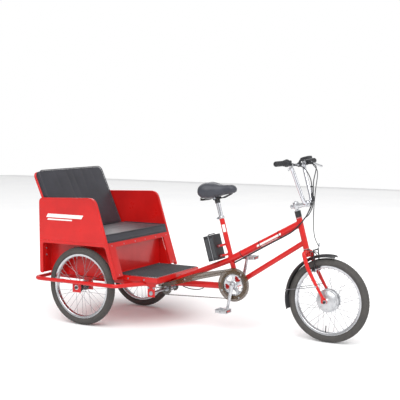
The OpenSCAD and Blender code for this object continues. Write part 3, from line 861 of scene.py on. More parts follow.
def chain_shape(path):
    """Roller chain: figure-of-eight side plates, outer and inner in turn, with a roller at each pin, repeated
    every half inch along the loop."""
    pins = denser(path, 12.7, closed=True)
    pins = pins[: len(pins) // 2 * 2]
    way = np.roll(pins, -1, 0) - pins
    long = np.linalg.norm(way, axis=1)[:, None]
    t = way / long
    turns = np.stack([t, np.broadcast_to(Y, t.shape), np.cross(t, Y)], -1)
    k = around(12)
    shape = np.stack([6.35 + 9.6 * np.cos(k), 4.0 * np.sin(k) * (0.72 + 0.28 * np.cos(2 * k)) * 1.05], -1)
    side = plate(shape, [(0.0, 0.0), (0.0, 1.0)])
    outer = joined(upright(side, 2.3), upright(side, -3.3))
    inner = joined(upright(side, 1.2), upright(side, -2.2))
    roller = placed(lathe([(3.4, -1.6), (3.4, 1.6)], 8), [0, 0, 0], Y)
    return joined(repeated(outer, pins[0::2], turns[0::2]), repeated(inner, pins[1::2], turns[1::2]),
                  repeated(roller, pins, turns))


def bar_path():
    """Centre line of the handlebar: clamp, two risers that spread as they climb, and swept-back ends."""
    half = [[1424, 0, 828], [1424, 46, 828], [1417, 64, 858], [1354, 92, 1048], [1349.5, 122, 1073],
            [1343, 284, 1073]]
    left = np.array(half, float)
    points = np.vstack([left[:0:-1] * [1, -1, 1], left])
    return bent(points, [0, 34, 36, 24, 20, 0, 20, 24, 36, 34, 0], 9)


def fork_leg():
    """Centre line of a fork leg: out of the crown, down beside the tyre along the steering axis, then forward
    to the drop-out."""
    top = on_steering(531)
    return bent([top + [0, 20, 4], top + [1, 57, 1], [1446, 58, 455], [1500, 59, 356], [1553, 59, 268]],
                [0, 16, 40, 40, 0], 9)


def patch_on_tube(start, way, radius, u0, u1, a0, a1, slant=0.0):
    """A thin film on a tube: a strip of the skin between two distances along it and two angles round it.
    Angle 0 faces the right side and 90 degrees is the tube's upper side."""
    way = unit(np.asarray(way, float))
    right = -Y
    up = np.cross(right, way)
    u = np.linspace(u0, u1, 12)[:, None]
    a = np.linspace(math.radians(a0), math.radians(a1), 12)[None]
    shift = slant * (a - math.radians(a0)) * radius
    rings = []
    for r in (radius + 0.12, radius + 0.55):
        skin = np.cos(a)[..., None] * right + np.sin(a)[..., None] * up + 0 * u[..., None]
        rings.append(start + (u + shift)[..., None] * way + r * skin)
    low, high = rings
    rim = lambda g: np.concatenate([g[0], g[1:, -1], g[-1, -2::-1], g[-2:0:-1, 0]])
    band = surface(np.stack([rim(low), rim(high)]))
    return joined(surface(low, (False, False)), surface(high, (False, False)), band)


# Each frame tube starts at a point and goes a way. The main and rear tubes meet the seat tube at JOIN_X
JOIN_X = 909.06
MAIN_START = np.array([JOIN_X - 12, 0.0, 446.0])
MAIN_WAY = on_steering(705) - MAIN_START
DOWN_START = BRACKET + [4, 0, 2]
DOWN_WAY = on_steering(594) - DOWN_START
REAR_START = np.array([470.0, 0.0, 270.0])
REAR_WAY = np.array([JOIN_X + 4, 0.0, 452.0]) - REAR_START
LOW_START = np.array([470.0, 0.0, 266.2])
LOW_WAY = BRACKET + [-13, 0, -20] - LOW_START


# ------------------------------------------------------------------ settings a user would change
class RickshawColours(bpy.types.PropertyGroup):
    """Colours of the enamel and vinyl"""
    enamel: bpy.props.FloatVectorProperty(name="Enamel", description="Colour of the frame and bench enamel",
                                          subtype="COLOR", size=3, min=0, max=1,
                                          default=linear("#CF1512")[:3])
    vinyl: bpy.props.FloatVectorProperty(name="Vinyl", description="Colour of the cushions",
                                         subtype="COLOR", size=3, min=0, max=1, default=linear("#2A2A30")[:3])


class RickshawWheels(bpy.types.PropertyGroup):
    """Sizes of the tread and spokes"""
    tread: bpy.props.FloatProperty(name="Tread depth", description="Depth of the rear tread, metres",
                                   subtype="DISTANCE", unit="LENGTH", default=0.0036, min=0.0005, max=0.004)
    knobs: bpy.props.IntProperty(name="Tread blocks", description="Blocks round each tyre", default=72,
                                 min=40, max=100)
    spoke: bpy.props.FloatProperty(name="Spoke radius", description="Radius of the spokes, metres",
                                   subtype="DISTANCE", unit="LENGTH", default=0.0011, min=0.0008, max=0.0016)


class RickshawBench(bpy.types.PropertyGroup):
    """Padding of the bench"""
    swell: bpy.props.FloatProperty(name="Most swell", description="Furthest the padding may rise, metres",
                                   subtype="DISTANCE", unit="LENGTH", default=0.012, min=0.0, max=0.02)
    pressure: bpy.props.FloatProperty(name="Pressure", description="Cloth pressure in the pads", default=4.0,
                                      min=0.5, max=8.0)
    welt: bpy.props.FloatProperty(name="Welt radius", description="Radius of the piping, metres",
                                  subtype="DISTANCE", unit="LENGTH", default=0.0032, min=0.001, max=0.005)


# ------------------------------------------------------------------ operators, one for each group of pieces
class RICKSHAW_OT_tyres(bpy.types.Operator):
    """Three tyres: block tread at the rear, ribbed tread in front"""
    bl_idname = "rickshaw.tyres"
    bl_label = "Tyres"

    def execute(self, context):
        looks = context.scene.rickshaw_wheels
        for side, (body, centre) in WHEELS.items():
            front = side == "front"
            shape = tyre_shape(looks.knobs, looks.tread * (620 if front else 1000), front)
            piece(side + "_tyre_tread", on_axle(shape, centre), tyre_rubber(), body, "tyre_rubber",
                  side + "_tyre", sharp=60)
        return {"FINISHED"}


class RICKSHAW_OT_rims(bpy.types.Operator):
    """Rims, laced spokes, nipples and valves"""
    bl_idname = "rickshaw.rims"
    bl_label = "Rims and spokes"

    def execute(self, context):
        radius = context.scene.rickshaw_wheels.spoke * 1000
        for side, (body, centre) in WHEELS.items():
            lacing = (36, 67.5, 19.0, 26) if side == "front" else (32, 29.0, 28.0, 62)
            piece(side + "_rim_hoop", on_axle(hoop_shape(), centre), polished_alloy(), body, "alloy",
                  side + "_rim", sharp=50)
            piece(side + "_spokes", on_axle(spokes_shape(*lacing, radius), centre), drawn_steel(), body,
                  "alloy", sharp=70)
            piece(side + "_nipples", on_axle(nipples_shape(*lacing), centre), zinc(), body, "alloy", sharp=70)
            at = math.radians({"front": -85.0, "right": 152.0, "left": 40.0}[side])
            way = np.array([-math.cos(at), -math.sin(at), 0.0])
            stem = lathe([(0.0, 0.0), (3.6, 0.0), (3.6, 3.0), (2.9, 5.0), (2.7, 26.0), (2.3, 27.0),
                          (2.9, 28.0), (2.9, 36.0), (2.2, 38.0), (0.0, 38.4)], 14)
            spot = np.array([math.cos(at), math.sin(at), 0.0]) * 192.8
            piece(side + "_valve", on_axle(placed(stem, spot, way), centre), black_pvc(), body,
                  "black_plastic")
        return {"FINISHED"}


class RICKSHAW_OT_hubs(bpy.types.Operator):
    """Rear hubs with bearing caps, and the axles with their washers"""
    bl_idname = "rickshaw.hubs"
    bl_label = "Rear hubs"

    def execute(self, context):
        half = [(6.3, 42.0), (11.0, 42.0), (13.0, 40.5), (17.0, 40.0), (20.0, 38.0), (20.5, 33.0),
                (23.0, 31.0), (30.4, 30.2), (31.0, 29.2), (31.0, 27.0), (30.2, 26.2), (23.0, 25.0),
                (18.5, 21.0), (16.5, 15.0), (15.6, 6.0)]
        profile = half + [(r, -h) for r, h in half[::-1]]
        for side in ("right", "left"):
            body, centre = WHEELS[side]
            piece(side + "_hub_shell", on_axle(lathe(profile, 56, wrap=True), centre), black_enamel(), body,
                  "black_paint", side + "_hub", sharp=50)
            cap = lathe([(6.3, 0.0), (12.4, 0.0), (12.4, 1.6), (10.5, 3.4), (6.3, 3.8)], 32, wrap=True)
            piece(side + "_bearing_caps", both_ends(cap, centre, 41.6), zinc(), body, "bright_steel")
        painted(zinc(), "drive_axle", "front_axle")
        painted(black_enamel(), "rear_axle_right")
        washer = lathe([(6.4, 0.0), (15.5, 0.0), (16.0, 0.7), (15.2, 1.5), (6.4, 1.5)], 36, wrap=True)
        piece("rear_axle_washers", placed(washer, [0, -411.1, AXLE_H], -Y), polished_alloy(), "frame",
              "bright_steel")
        piece("drive_axle_washer", placed(washer, [0, 411.1, AXLE_H], Y), polished_alloy(), "left_wheel",
              "bright_steel")
        return {"FINISHED"}


class RICKSHAW_OT_hub_motor(bpy.types.Operator):
    """Front hub motor: a domed lacquered casting with cover screws"""
    bl_idname = "rickshaw.hub_motor"
    bl_label = "Hub motor"

    def execute(self, context):
        half = [(5.3, 49.5), (11.0, 49.5), (13.0, 48.0), (13.4, 41.0), (16.0, 38.6), (28.0, 37.4),
                (40.0, 34.6), (50.0, 30.4), (56.0, 26.6), (58.0, 26.0), (60.5, 23.0), (61.5, 21.2),
                (69.0, 20.9), (70.0, 20.0), (70.0, 18.0), (69.0, 17.1), (62.5, 16.6), (61.0, 14.0),
                (61.0, 4.0)]
        profile = half + [(r, -h) for r, h in half[::-1]]
        piece("motor_casting", on_axle(lathe(profile, 96, wrap=True), FRONT_AXLE), cast_alloy(),
              "front_wheel", "alloy", "front_hub_motor", sharp=40)
        a = around(8)
        ring = np.stack([48.5 * np.cos(a), 0 * a, 48.5 * np.sin(a)], -1)
        screws = joined(*[domes(FRONT_AXLE + ring + [0, s * 30.6, 0], s * Y, 3.6, 2.6) for s in (1, -1)])
        piece("motor_screws", screws, zinc(), "front_wheel", "alloy")
        return {"FINISHED"}


class RICKSHAW_OT_bench_sides(bpy.types.Operator):
    """Pressed side panels with a rolled rim round armrest, legs and wheel opening"""
    bl_idname = "rickshaw.bench_sides"
    bl_label = "Bench sides"

    def execute(self, context):
        # Each panel is 18 mm thick, with a rounded rim and both faces set 0.9 and then 1.5 mm below it
        steps = np.vstack([[[6.2, 1.5], [5.4, 0.9]], edge(18.0, 4.6, 6), [[5.4, 17.1], [6.2, 16.5]]])
        sheet = plate(side_outline(), steps)
        for side, s, nodes in (("right", -1, ["side_panels"]), ("left", 1, [])):
            shell = upright(sheet, s * 357.0, s)
            piece(side + "_side_panel", shell, red_enamel(), "frame", "red_paint", *nodes, sharp=32)
        fold = mirrored(tube([[-322, 373.6, 541], [196, 373.6, 541]], 1.7, 8))
        piece("side_panel_folds", fold, red_enamel(), "frame", "red_paint")
        heights = np.array([352.0, 420.0, 488.0, 556.0, 640.0, 724.0, 780.0])
        spots = np.stack([np.full(7, -331.0), np.full(7, 366.0), heights], -1)
        front = [[panel_front(z) + 0.3, y, z] for z, y in ((346, 325), (528, 325), (528, 190), (528, 60))]
        slope = [math.cos(0.305), 0, math.sin(0.305)]
        rivets = joined(mirrored(domes(spots, -X, 3.4, 1.8)), mirrored(domes(front, slope, 3.6, 1.8)))
        piece("bench_rivets", rivets, zinc(), "frame", "bright_steel")
        plates = np.array([[-302.0, 336.0, 480.0], [-302.0, 336.0, 436.0]])
        heads = mirrored(bolts(plates, X, 5.0, 4.0))
        behind = mirrored(bolts(plates - [3.2, 0, 0], -X, 5.0, 4.0))
        piece("wheel_well_bolts", joined(heads, behind), zinc(), "frame", "bright_steel", sharp=30)
        return {"FINISHED"}


class RICKSHAW_OT_bench_body(bpy.types.Operator):
    """Sheet parts of the bench: wells, front, rear panel, seat base and the backrest shell"""
    bl_idname = "rickshaw.bench_body"
    bl_label = "Bench body"

    def execute(self, context):
        red = red_enamel()
        painted(red, "wheel_wells", "bench_front", "bench_rear_panel", "seat_pan", radius=0.9)
        outline = bent([[-356.6, -50], [356.6, -50], [356.6, 427], [-356.6, 427]], [6, 6, 44, 44], 10,
                       closed=True)
        steps = np.vstack([edge(16.2, 7.6, 6), [[9.0, 16.2 - 0.9], [10.4, 16.2 - 1.6]]])
        shell = raked(moved(plate(outline, steps), [0, 0, -38.7], scale=[1, 1, -1]), 610.0)
        piece("backrest_back", shell, red, "frame", "red_paint", "backrest_shell", sharp=32)
        ribs = [tube([[-250, s, -56.2], [250, s, -56.2]], 4.2, 10, Z) for s in (250.0, 330.0)]
        piece("backrest_pressings", raked(joined(*ribs), 610.0), red, "frame", "red_paint")
        spots = np.array([[y, s, -54.4] for y in (-320.0, -107.0, 107.0, 320.0) for s in (215.0, 385.0)])
        piece("backrest_bolts", raked(domes(spots, -Z, 5.0, 2.4, 12), 610.0), zinc(), "frame", "bright_steel")
        rows = np.array([[-331.2, y, z] for y in (-320.0, -160.0, 0.0, 160.0, 320.0) for z in (338.0, 788.0)])
        piece("rear_panel_rivets", domes(rows, -X, 4.0, 2.0), zinc(), "frame", "bright_steel")
        seams = [tube([[-333.0, y, 372.0], [-333.0, y, 752.0]], 3.2, 10, X) for y in (-120.0, 120.0)]
        piece("rear_panel_pressings", joined(*seams), red, "frame", "red_paint")
        return {"FINISHED"}


def crease(obj, lines):
    """Presses creases into a soft piece. Each line is a start, an end, a depth and a width in millimetres. A
    point sinks by depth e^-(d/w)^2, with d its distance from the line, fading at the ends."""
    count = len(obj.data.vertices)
    co, normals = np.empty(count * 3, np.float32), np.empty(count * 3, np.float32)
    obj.data.vertices.foreach_get("co", co)
    obj.data.vertices.foreach_get("normal", normals)
    p = co.reshape(-1, 3).astype(float) * 1000 + MIDDLE
    sink = np.zeros(count)
    for a, b, depth, width in lines:
        a, b = np.asarray(a, float), np.asarray(b, float)
        u = (p - a) @ (b - a) / ((b - a) @ (b - a))
        near = a + np.clip(u, 0, 1)[:, None] * (b - a)
        d = np.linalg.norm(p - near, axis=1)
        sink += depth * np.exp(-((d / width) ** 2)) * np.sin(np.clip(u, 0, 1) * math.pi) ** 0.5
    p -= sink[:, None] * normals.reshape(-1, 3)
    obj.data.vertices.foreach_set("co", ((p - MIDDLE) / 1000).astype(np.float32).ravel())
    obj.data.update()


class RICKSHAW_OT_seat(bpy.types.Operator):
    """Seat cushion: a boxed pad swollen by cloth pressure, with piping sewn along its edges"""
    bl_idname = "rickshaw.seat"
    bl_label = "Seat cushion"

    def execute(self, context):
        looks = context.scene.rickshaw_bench
        half_wide, bottom, top = 353.0, 548.0, 597.0
        front = lambda z: panel_front(z) + 1.0
        outline = bent([[-188, bottom], [front(bottom), bottom], [front(top), top], [-166, top], [-188, 592]],
                       [3, 6, 7, 3, 3], 5, closed=True)
        outline = denser(outline, 9.0, closed=True)
        ends = edge(2 * half_wide, 5.0, 5)
        steps = np.vstack([ends[:5], [[0, y] for y in np.linspace(20, 686, 40)], ends[5:]])
        pad = piece("seat_pad", upright(plate(outline, steps), -half_wide), black_vinyl(), "frame",
                    "black_vinyl", "seat_cushion", sharp=60)
        def held(x, y, z):
            low = smooth((553 - z) / 4) + smooth((-178 - x) / 5)
            sides = smooth((np.abs(y) - 345) / 5)
            lip = np.hypot(x - front(top), z - top)
            return np.clip(low + sides + smooth((13 - lip) / 5), 0, 1)
        swell(pad, held, looks.pressure, looks.swell * 1000)
        crease(pad, [([-150, -20, 606], [150, -60, 604], 1.6, 16),
                     ([-160, 120, 606], [60, 170, 605], 1.8, 18),
                     ([-150, -230, 606], [40, -180, 605], 1.5, 15),
                     ([-160, 20, 606], [-60, 60, 606], 1.6, 12),
                     ([-165, -345, 604], [-165, 345, 604], 3.0, 16)])
        r = looks.welt * 1000
        piping = []
        for z in (597.5, 549.5):
            x = front(z) - 1
            loop = bent([[-150, -half_wide, z], [x, -half_wide, z], [x, half_wide, z], [-150, half_wide, z]],
                        [0, 9, 9, 0], 6)
            piping.append(tube(loop, r, 10, Z))
        piece("seat_piping", joined(*piping), black_vinyl(), "frame", "black_vinyl")
        return {"FINISHED"}


class RICKSHAW_OT_backrest(bpy.types.Operator):
    """Backrest cushion: a raked boxed pad swollen by cloth pressure, with piping round both faces"""
    bl_idname = "rickshaw.backrest"
    bl_label = "Backrest cushion"

    def execute(self, context):
        looks = context.scene.rickshaw_bench
        foot, half_wide, high, corner = 601.0, 347.0, 433.0, 42.0
        outline = bent([[-half_wide, 0], [half_wide, 0], [half_wide, high], [-half_wide, high]],
                       [10, 10, corner, corner], 9, closed=True)
        steps = np.vstack([edge(31.0, 5.0, 4), [[k, 31.0] for k in (12.0, 26.0)]])
        shape = moved(plate(denser(outline, 9.0, closed=True), steps), [0, 0, -38.0])
        pad = piece("backrest_pad", raked(shape, foot), black_vinyl(), "frame", "black_vinyl",
                    "backrest_cushion", sharp=60)
        base = np.array([back_face(foot), 0.0, foot])
        spot = lambda y, s, h=0.0: base + y * Y + s * BACK_UP + h * BACK_OUT
        def held(x, y, z):
            p = np.stack([x, y, z], -1) - base
            s, h = p @ BACK_UP, p @ BACK_OUT
            inside = np.minimum(half_wide - np.abs(y), np.minimum(high - s, s))
            past_y, past_s = np.abs(y) - (half_wide - corner), s - (high - corner)
            reach = np.hypot(np.maximum(past_y, 0), np.maximum(past_s, 0))
            inside = np.minimum(inside, np.where((past_y > 0) & (past_s > 0), corner - reach, 999))
            rim = smooth((10 - inside) / 4) * smooth((h + 16) / 4)
            return np.clip(smooth((-32 - h) / 4) + rim, 0, 1)
        swell(pad, held, looks.pressure, looks.swell * 1000)
        crease(pad, [(spot(-70, 425), spot(-52, 150), 2.6, 13), (spot(-5, 428), spot(16, 190), 2.2, 12),
                     (spot(110, 428), spot(96, 240), 1.8, 14),
                     (spot(-190, 426), spot(-182, 260), 1.6, 14),
                     (spot(-120, 70), spot(-40, 215), 1.6, 15),
                     (spot(215, 427), spot(222, 300), 1.4, 13)])
        r = looks.welt * 1000
        ring = lambda h: np.stack([spot(y, s, h) for y, s in outline])
        piping = joined(tube(ring(-6.5), r, 10, BACK_OUT, closed=True),
                        tube(ring(-36.0), r * 0.9, 8, BACK_OUT, closed=True))
        piece("backrest_piping", piping, black_vinyl(), "frame", "black_vinyl")
        return {"FINISHED"}


class RICKSHAW_OT_floor_and_rail(bpy.types.Operator):
    """Chassis, footboard with its ribbed mat, and the rail round the wheels"""
    bl_idname = "rickshaw.floor_and_rail"
    bl_label = "Footboard and rail"

    def execute(self, context):
        red = red_enamel()
        painted(red, "rear_chassis", "footboard", radius=1.2)
        painted(red, "bumper_rail", "jackshaft_brackets")
        painted(black_abs(), "chain_tensioner")
        # Mat: height over Y is a flat base plus half-round ribs every 8 mm, carried along X
        y = np.linspace(-255.0, 255.0, 769)
        rib = np.sqrt(np.maximum(0.0, 1 - ((np.mod(y + 4.0, 8.0) - 4.0) / 2.7) ** 2))
        fall = smooth((255.0 - np.abs(y)) / 3.0)
        x = np.array([204.0, 204.4, 206.0, 208.0, 212.0, 500.0, 504.0, 506.0, 507.6, 508.0])
        ends = np.array([0.0, 0.5, 0.9, 0.95, 1.0, 1.0, 0.95, 0.9, 0.5, 0.0])
        top = 334.2 + (2.4 + 2.0 * rib)[None] * fall[None] * ends[:, None]
        grid = np.stack(np.broadcast_arrays(x[:, None], y[None], top), -1)
        low = grid * [1, 1, 0] + [0, 0, 334.06]
        section = np.concatenate([grid, low[:, ::-1]], 1)
        piece("footboard_ribbed_mat", surface(section, caps=True, flat=True), mat_rubber(), "frame",
              "black_rubber", "footboard_mat", sharp=60)
        border = [[203, -257, 336.4], [510, -257, 336.4], [510, 257, 336.4], [203, 257, 336.4]]
        piece("mat_edge_strip", tube(bent(border, [0, 5, 5, 0], 5), 1.2, 8, Z), polished_alloy(), "frame",
              "alloy")
        screws = np.array([[x0, y0, 338.0] for x0 in (214.0, 356.0, 499.0) for y0 in (-246.0, 246.0)])
        piece("mat_screws", domes(screws, Z, 3.6, 1.6), zinc(), "frame", "bright_steel")
        lines = [([-32, y0, z0], [32, y0, z0], r, Y) for y0, z0,
                 r in ((408.5, 277.5, 2.0), (407.0, 286.0, 1.6))]
        lines += [([x0, 228.2, 302.4], [x0, 251.5, 302.4], 1.8, Z)
                  for x0 in (-292.0, -72.0, -46.0, 250.0, 276.0)]
        welds = [bead(np.array([start, end]), r, side, False) for start, end, r, side in lines]
        piece("rail_and_chassis_welds", mirrored(joined(*welds)), red, "frame", "red_paint", sharp=70)
        cap = lathe([(8.2, 0.0), (14.0, 0.0), (14.0, 3.2), (11.5, 4.6), (8.2, 4.6)], 32, wrap=True)
        caps = mirrored(placed(cap, JACK + 238.1 * Y, Y))
        piece("jackshaft_bearing_caps", caps, zinc(), "frame", "bright_steel")
        heads = mirrored(bolts([[438, 238.4, 264], [478, 238.4, 264]], Y, 5.0, 4.2))
        piece("jackshaft_bracket_bolts", heads, zinc(), "frame", "bright_steel", sharp=30)
        under = np.array([[300, 263.2, 316], [420, 263.2, 316]])
        heads = joined(bolts(under * [1, -1, 1], -Y, 4.5, 3.6), bolts(under, Y, 4.5, 3.6))
        piece("footboard_side_bolts", heads, zinc(), "frame", "bright_steel", sharp=30)
        return {"FINISHED"}


class RICKSHAW_OT_main_frame(bpy.types.Operator):
    """Main frame with weld beads, bracket cups, plain white stripes and a blank label"""
    bl_idname = "rickshaw.main_frame"
    bl_label = "Main frame"

    def execute(self, context):
        red = red_enamel()
        painted(red, "main_frame")
        painted(black_enamel(), "headset")
        # Each joint: a point on the thin tube, the way it runs, its radius, and the tube that it meets
        head = on_steering(600)
        joints = [
            (MAIN_START, MAIN_WAY, MAIN_R, head, STEER, HEAD_R),
            (DOWN_START, DOWN_WAY, DOWN_R, head, STEER, HEAD_R),
            (MAIN_START + MAIN_WAY * 0.6, -MAIN_WAY, MAIN_R, BRACKET, SEAT_TUBE, SEAT_R),
            (REAR_START, REAR_WAY, REAR_R, BRACKET, SEAT_TUBE, SEAT_R),
            (DOWN_START + DOWN_WAY * 0.6, -DOWN_WAY, DOWN_R, BRACKET, Y, SHELL_R),
            (LOW_START, LOW_WAY, SHELL_R, BRACKET, Y, SHELL_R),
            (on_seat_tube(300), -SEAT_TUBE, SEAT_R, BRACKET, Y, SHELL_R),
        ]
        beads = []
        for start, way, r, centre, across, big in joints:
            curve = seam(start, way, r + 0.3, centre, across, big + 0.3)
            # The side leans a little off the tube, so that it is never in line with the bead
            beads.append(bead(curve, 1.9, unit(way) + 0.013 * Y))
        piece("frame_weld_beads", joined(*beads), red, "frame", "red_paint", sharp=75)
        cup = lathe([(9.0, 0.0), (19.5, 0.0), (20.0, 1.0), (19.0, 2.6), (13.0, 3.0), (9.0, 3.0)], 40,
                    wrap=True)
        piece("bracket_cups", both_ends(cup, BRACKET, 35.1), chain_steel(), "frame", "dark_steel")
        ring = lathe([(18.4, 0.0), (19.6, 0.4), (19.8, 2.2), (18.6, 3.0), (17.0, 3.0), (17.0, 0.0)], 40,
                     wrap=True)
        rings = [placed(ring, on_steering(z), STEER) for z in (551.5, 737.0, 779.0)]
        piece("headset_rings", joined(*rings), polished_alloy(), "frame", "alloy")
        stripes = [patch_on_tube(MAIN_START, MAIN_WAY, MAIN_R, u0, u1, a0, a1, 0.5)
                   for u0, u1, a0, a1 in ((222, 404, -26, 6), (240, 372, -52, -41))]
        piece("main_tube_stripes", joined(*stripes), white_film(), "frame", "red_paint", sharp=30)
        label = patch_on_tube(BRACKET, SEAT_TUBE, SEAT_R, 334, 382, -62, 8)
        piece("blank_label", label, white_film(), "frame", "red_paint", sharp=30)
        # Panel stripes: a broad slanted bar over a thin one, on the outer face of each side
        bars = []
        for x0, w, z0, high in ((-270, 288, 692, 24), (-262, 200, 675, 9)):
            x1, z1 = x0 + high * 0.6, z0 + high
            shape = bent([[x0, z0], [x0 + w, z0], [x1 + w, z1], [x1, z1]], 2, 4, closed=True)
            bars.append(upright(plate(shape, [(0, 0), (0, 0.35)]), 373.55, 1))
        piece("side_panel_stripes", mirrored(joined(*bars)), white_film(), "frame", "red_paint", sharp=30)
        band = lathe([(22.1, -2.4), (23.4, -2.0), (23.4, 2.0), (22.1, 2.4)], 40, wrap=True)
        ties = [placed(band, MAIN_START + MAIN_WAY * share, MAIN_WAY) for share in (0.18, 0.45, 0.72)]
        piece("cable_ties", joined(*ties), black_abs(), "frame", "black_plastic")
        return {"FINISHED"}


class RICKSHAW_OT_battery(bpy.types.Operator):
    """Battery case: two moulded halves, a grey seal between them, side panels, bracket screws and a handle"""
    bl_idname = "rickshaw.battery"
    bl_label = "Battery"

    def execute(self, context):
        turn = np.stack([SEAT_FRONT, Y, SEAT_TUBE], -1)
        centre = on_seat_tube(254, -101)

        def slab(x0, x1, half_wide, high, corner, radius, n):
            outline = [[x0, -half_wide], [x1, -half_wide], [x1, half_wide], [x0, half_wide]]
            body = plate(bent(outline, corner, n, closed=True), edge(high, radius, n))
            return moved(moved(body, [0, 0, -high / 2]), centre, turn)

        case = joined(*[slab(x0, x1, 51.0, 163.0, 5.0, 4.0, 5) for x0, x1 in ((-36.0, -1.6), (1.6, 36.0))])
        piece("battery_case", case, black_abs(), "frame", "black_plastic", "battery_box", sharp=34)
        seal = slab(-1.7, 1.7, 50.2, 161.4, 0.8, 0.8, 3)
        piece("battery_seal", seal, seal_strip(), "frame", "black_plastic")
        panels = []
        for s in (-1, 1):
            for x0 in (-18.5, 18.5):
                shape = moved(plate(rounded(24, 124, 4, 4), [(0, 0), (0, 0.8), (1.0, 1.5)]), [x0, 0, 0])
                panels.append(upright(shape, s * 50.6, s))
        piece("battery_panels", moved(joined(*panels), centre, turn), dark_glass(), "frame", "black_plastic",
              sharp=30)
        screw = lathe([(5.0, 0.0), (5.0, 7.0), (3.6, 9.0), (0, 9.4)], 20)
        screws = [placed(screw, on_seat_tube(along, -52, -18.2), -Y) for along in (193, 257)]
        piece("battery_bracket_screws", joined(*screws), zinc(), "frame", "bright_steel")
        grip = [on_seat_tube(*spot) for spot in ((335.6, -128), (341, -122), (341, -80), (335.6, -74))]
        piece("battery_handle", tube(grip, 3.2, 10, Y), black_abs(), "frame", "black_plastic")
        return {"FINISHED"}


class RICKSHAW_OT_saddle(bpy.types.Operator):
    """Wide sprung saddle on a plated post, with its clamp and the seat tube's bolt"""
    bl_idname = "rickshaw.saddle"
    bl_label = "Saddle and post"

    def execute(self, context):
        painted(chrome(), "seat_post")
        cover = piece("saddle_cover", saddle_shape(), saddle_skin(), "frame", "black_vinyl", "saddle",
                      sharp=80)
        smoother = cover.modifiers.new("smoother", "SUBSURF")
        smoother.levels = smoother.render_levels = 1
        rails = mirrored(tube(bent([[724, 40, 826], [752, 30, 829], [776, 22, 836.4], [848, 22, 836.4],
                                    [880, 16, 852], [909, 9, 866], [912, 5, 874]], [0, 12, 12, 12, 10, 8, 0],
                                   6), 3.5, 12, Z))
        base = plate(bent([[716, -60], [734, -60], [740, 0], [734, 60], [716, 60], [708, 0]],
                          [8, 8, 16, 8, 8, 16], 5, closed=True), edge(4.0, 1.2, 3))
        piece("saddle_rails_and_plate", joined(rails, moved(base, [0, 0, 818])), black_enamel(), "frame",
              "black_paint", "saddle_rails")
        # Coil: radius 12 mm, 4.6 turns climbing 40 mm, laid closer at both ends
        share = np.linspace(0, 1, 150)
        a = 4.6 * TURN * share
        climb = 822 + 16 * smooth(share) + 24 * share
        coil = np.stack([724 + 12 * np.cos(a), 48 + 12 * np.sin(a), climb], -1)
        low_cup = lathe([(0, 0), (15, 0), (15, 3), (10, 4.5), (0, 4.5)], 28)
        high_cup = lathe([(0, 0), (10, 0), (15, 1.5), (15, 4), (0, 4)], 28)
        cups = joined(moved(low_cup, [724, 48, 820]), moved(high_cup, [724, 48, 860]))
        piece("saddle_springs", mirrored(tube(coil, 2.3, 8, Z)), chain_steel(), "frame", "dark_steel",
              sharp=80)
        piece("saddle_spring_cups", mirrored(cups), black_enamel(), "frame", "black_paint")
        centre = np.array([BRACKET[0] - 536 * math.tan(SEAT_LEAN), 0, 836.4])
        half = [(12.0, 15.0), (15.0, 16.0), (15.0, 30.0), (14.5, 31.0), (7.0, 31.0)]
        clamp = lathe([(r, -h) for r, h in half[::-1]] + half, 32, wrap=True)
        piece("saddle_clamp", placed(clamp, centre, Y), black_enamel(), "frame", "black_paint")
        sleeve = lathe([(13.65, 522.0), (16.6, 522.0), (17.2, 523.0), (17.2, 548.0), (15.0, 553.0),
                        (13.65, 553.0)], 40, wrap=True)
        piece("saddle_clamp_socket", placed(sleeve, BRACKET, SEAT_TUBE), black_enamel(), "frame",
              "black_paint")
        nuts = mirrored(bolts([centre + 31.2 * Y], Y, 6.5, 6.0))
        piece("saddle_clamp_nuts", nuts, zinc(), "frame", "bright_steel", sharp=30)
        collar = lathe([(16.1, 420.0), (18.6, 420.6), (18.9, 434.0), (18.2, 436.6), (16.1, 437.0)], 44,
                       wrap=True)
        piece("seat_collar", placed(collar, BRACKET, SEAT_TUBE), polished_alloy(), "frame", "alloy")
        spot = on_seat_tube(428.5, -24)
        head = [(0, 0), (5.4, 0), (5.4, 4.2), (4.6, 5), (0, 5)]
        ears = [block(spot + [-5, y - 3.2, -6.5], spot + [9, y + 3.2, 6.5], 0.3) for y in (6, -6)]
        bolt = joined(placed(lathe([(0, -13), (3, -13), (3, 13), (0, 13)], 14), spot, Y),
                      placed(lathe(head, 6), spot + 9 * Y, Y), placed(lathe(head, 18), spot - 9 * Y, -Y),
                      *ears)
        piece("seat_collar_bolt", bolt, zinc(), "frame", "bright_steel")
        return {"FINISHED"}


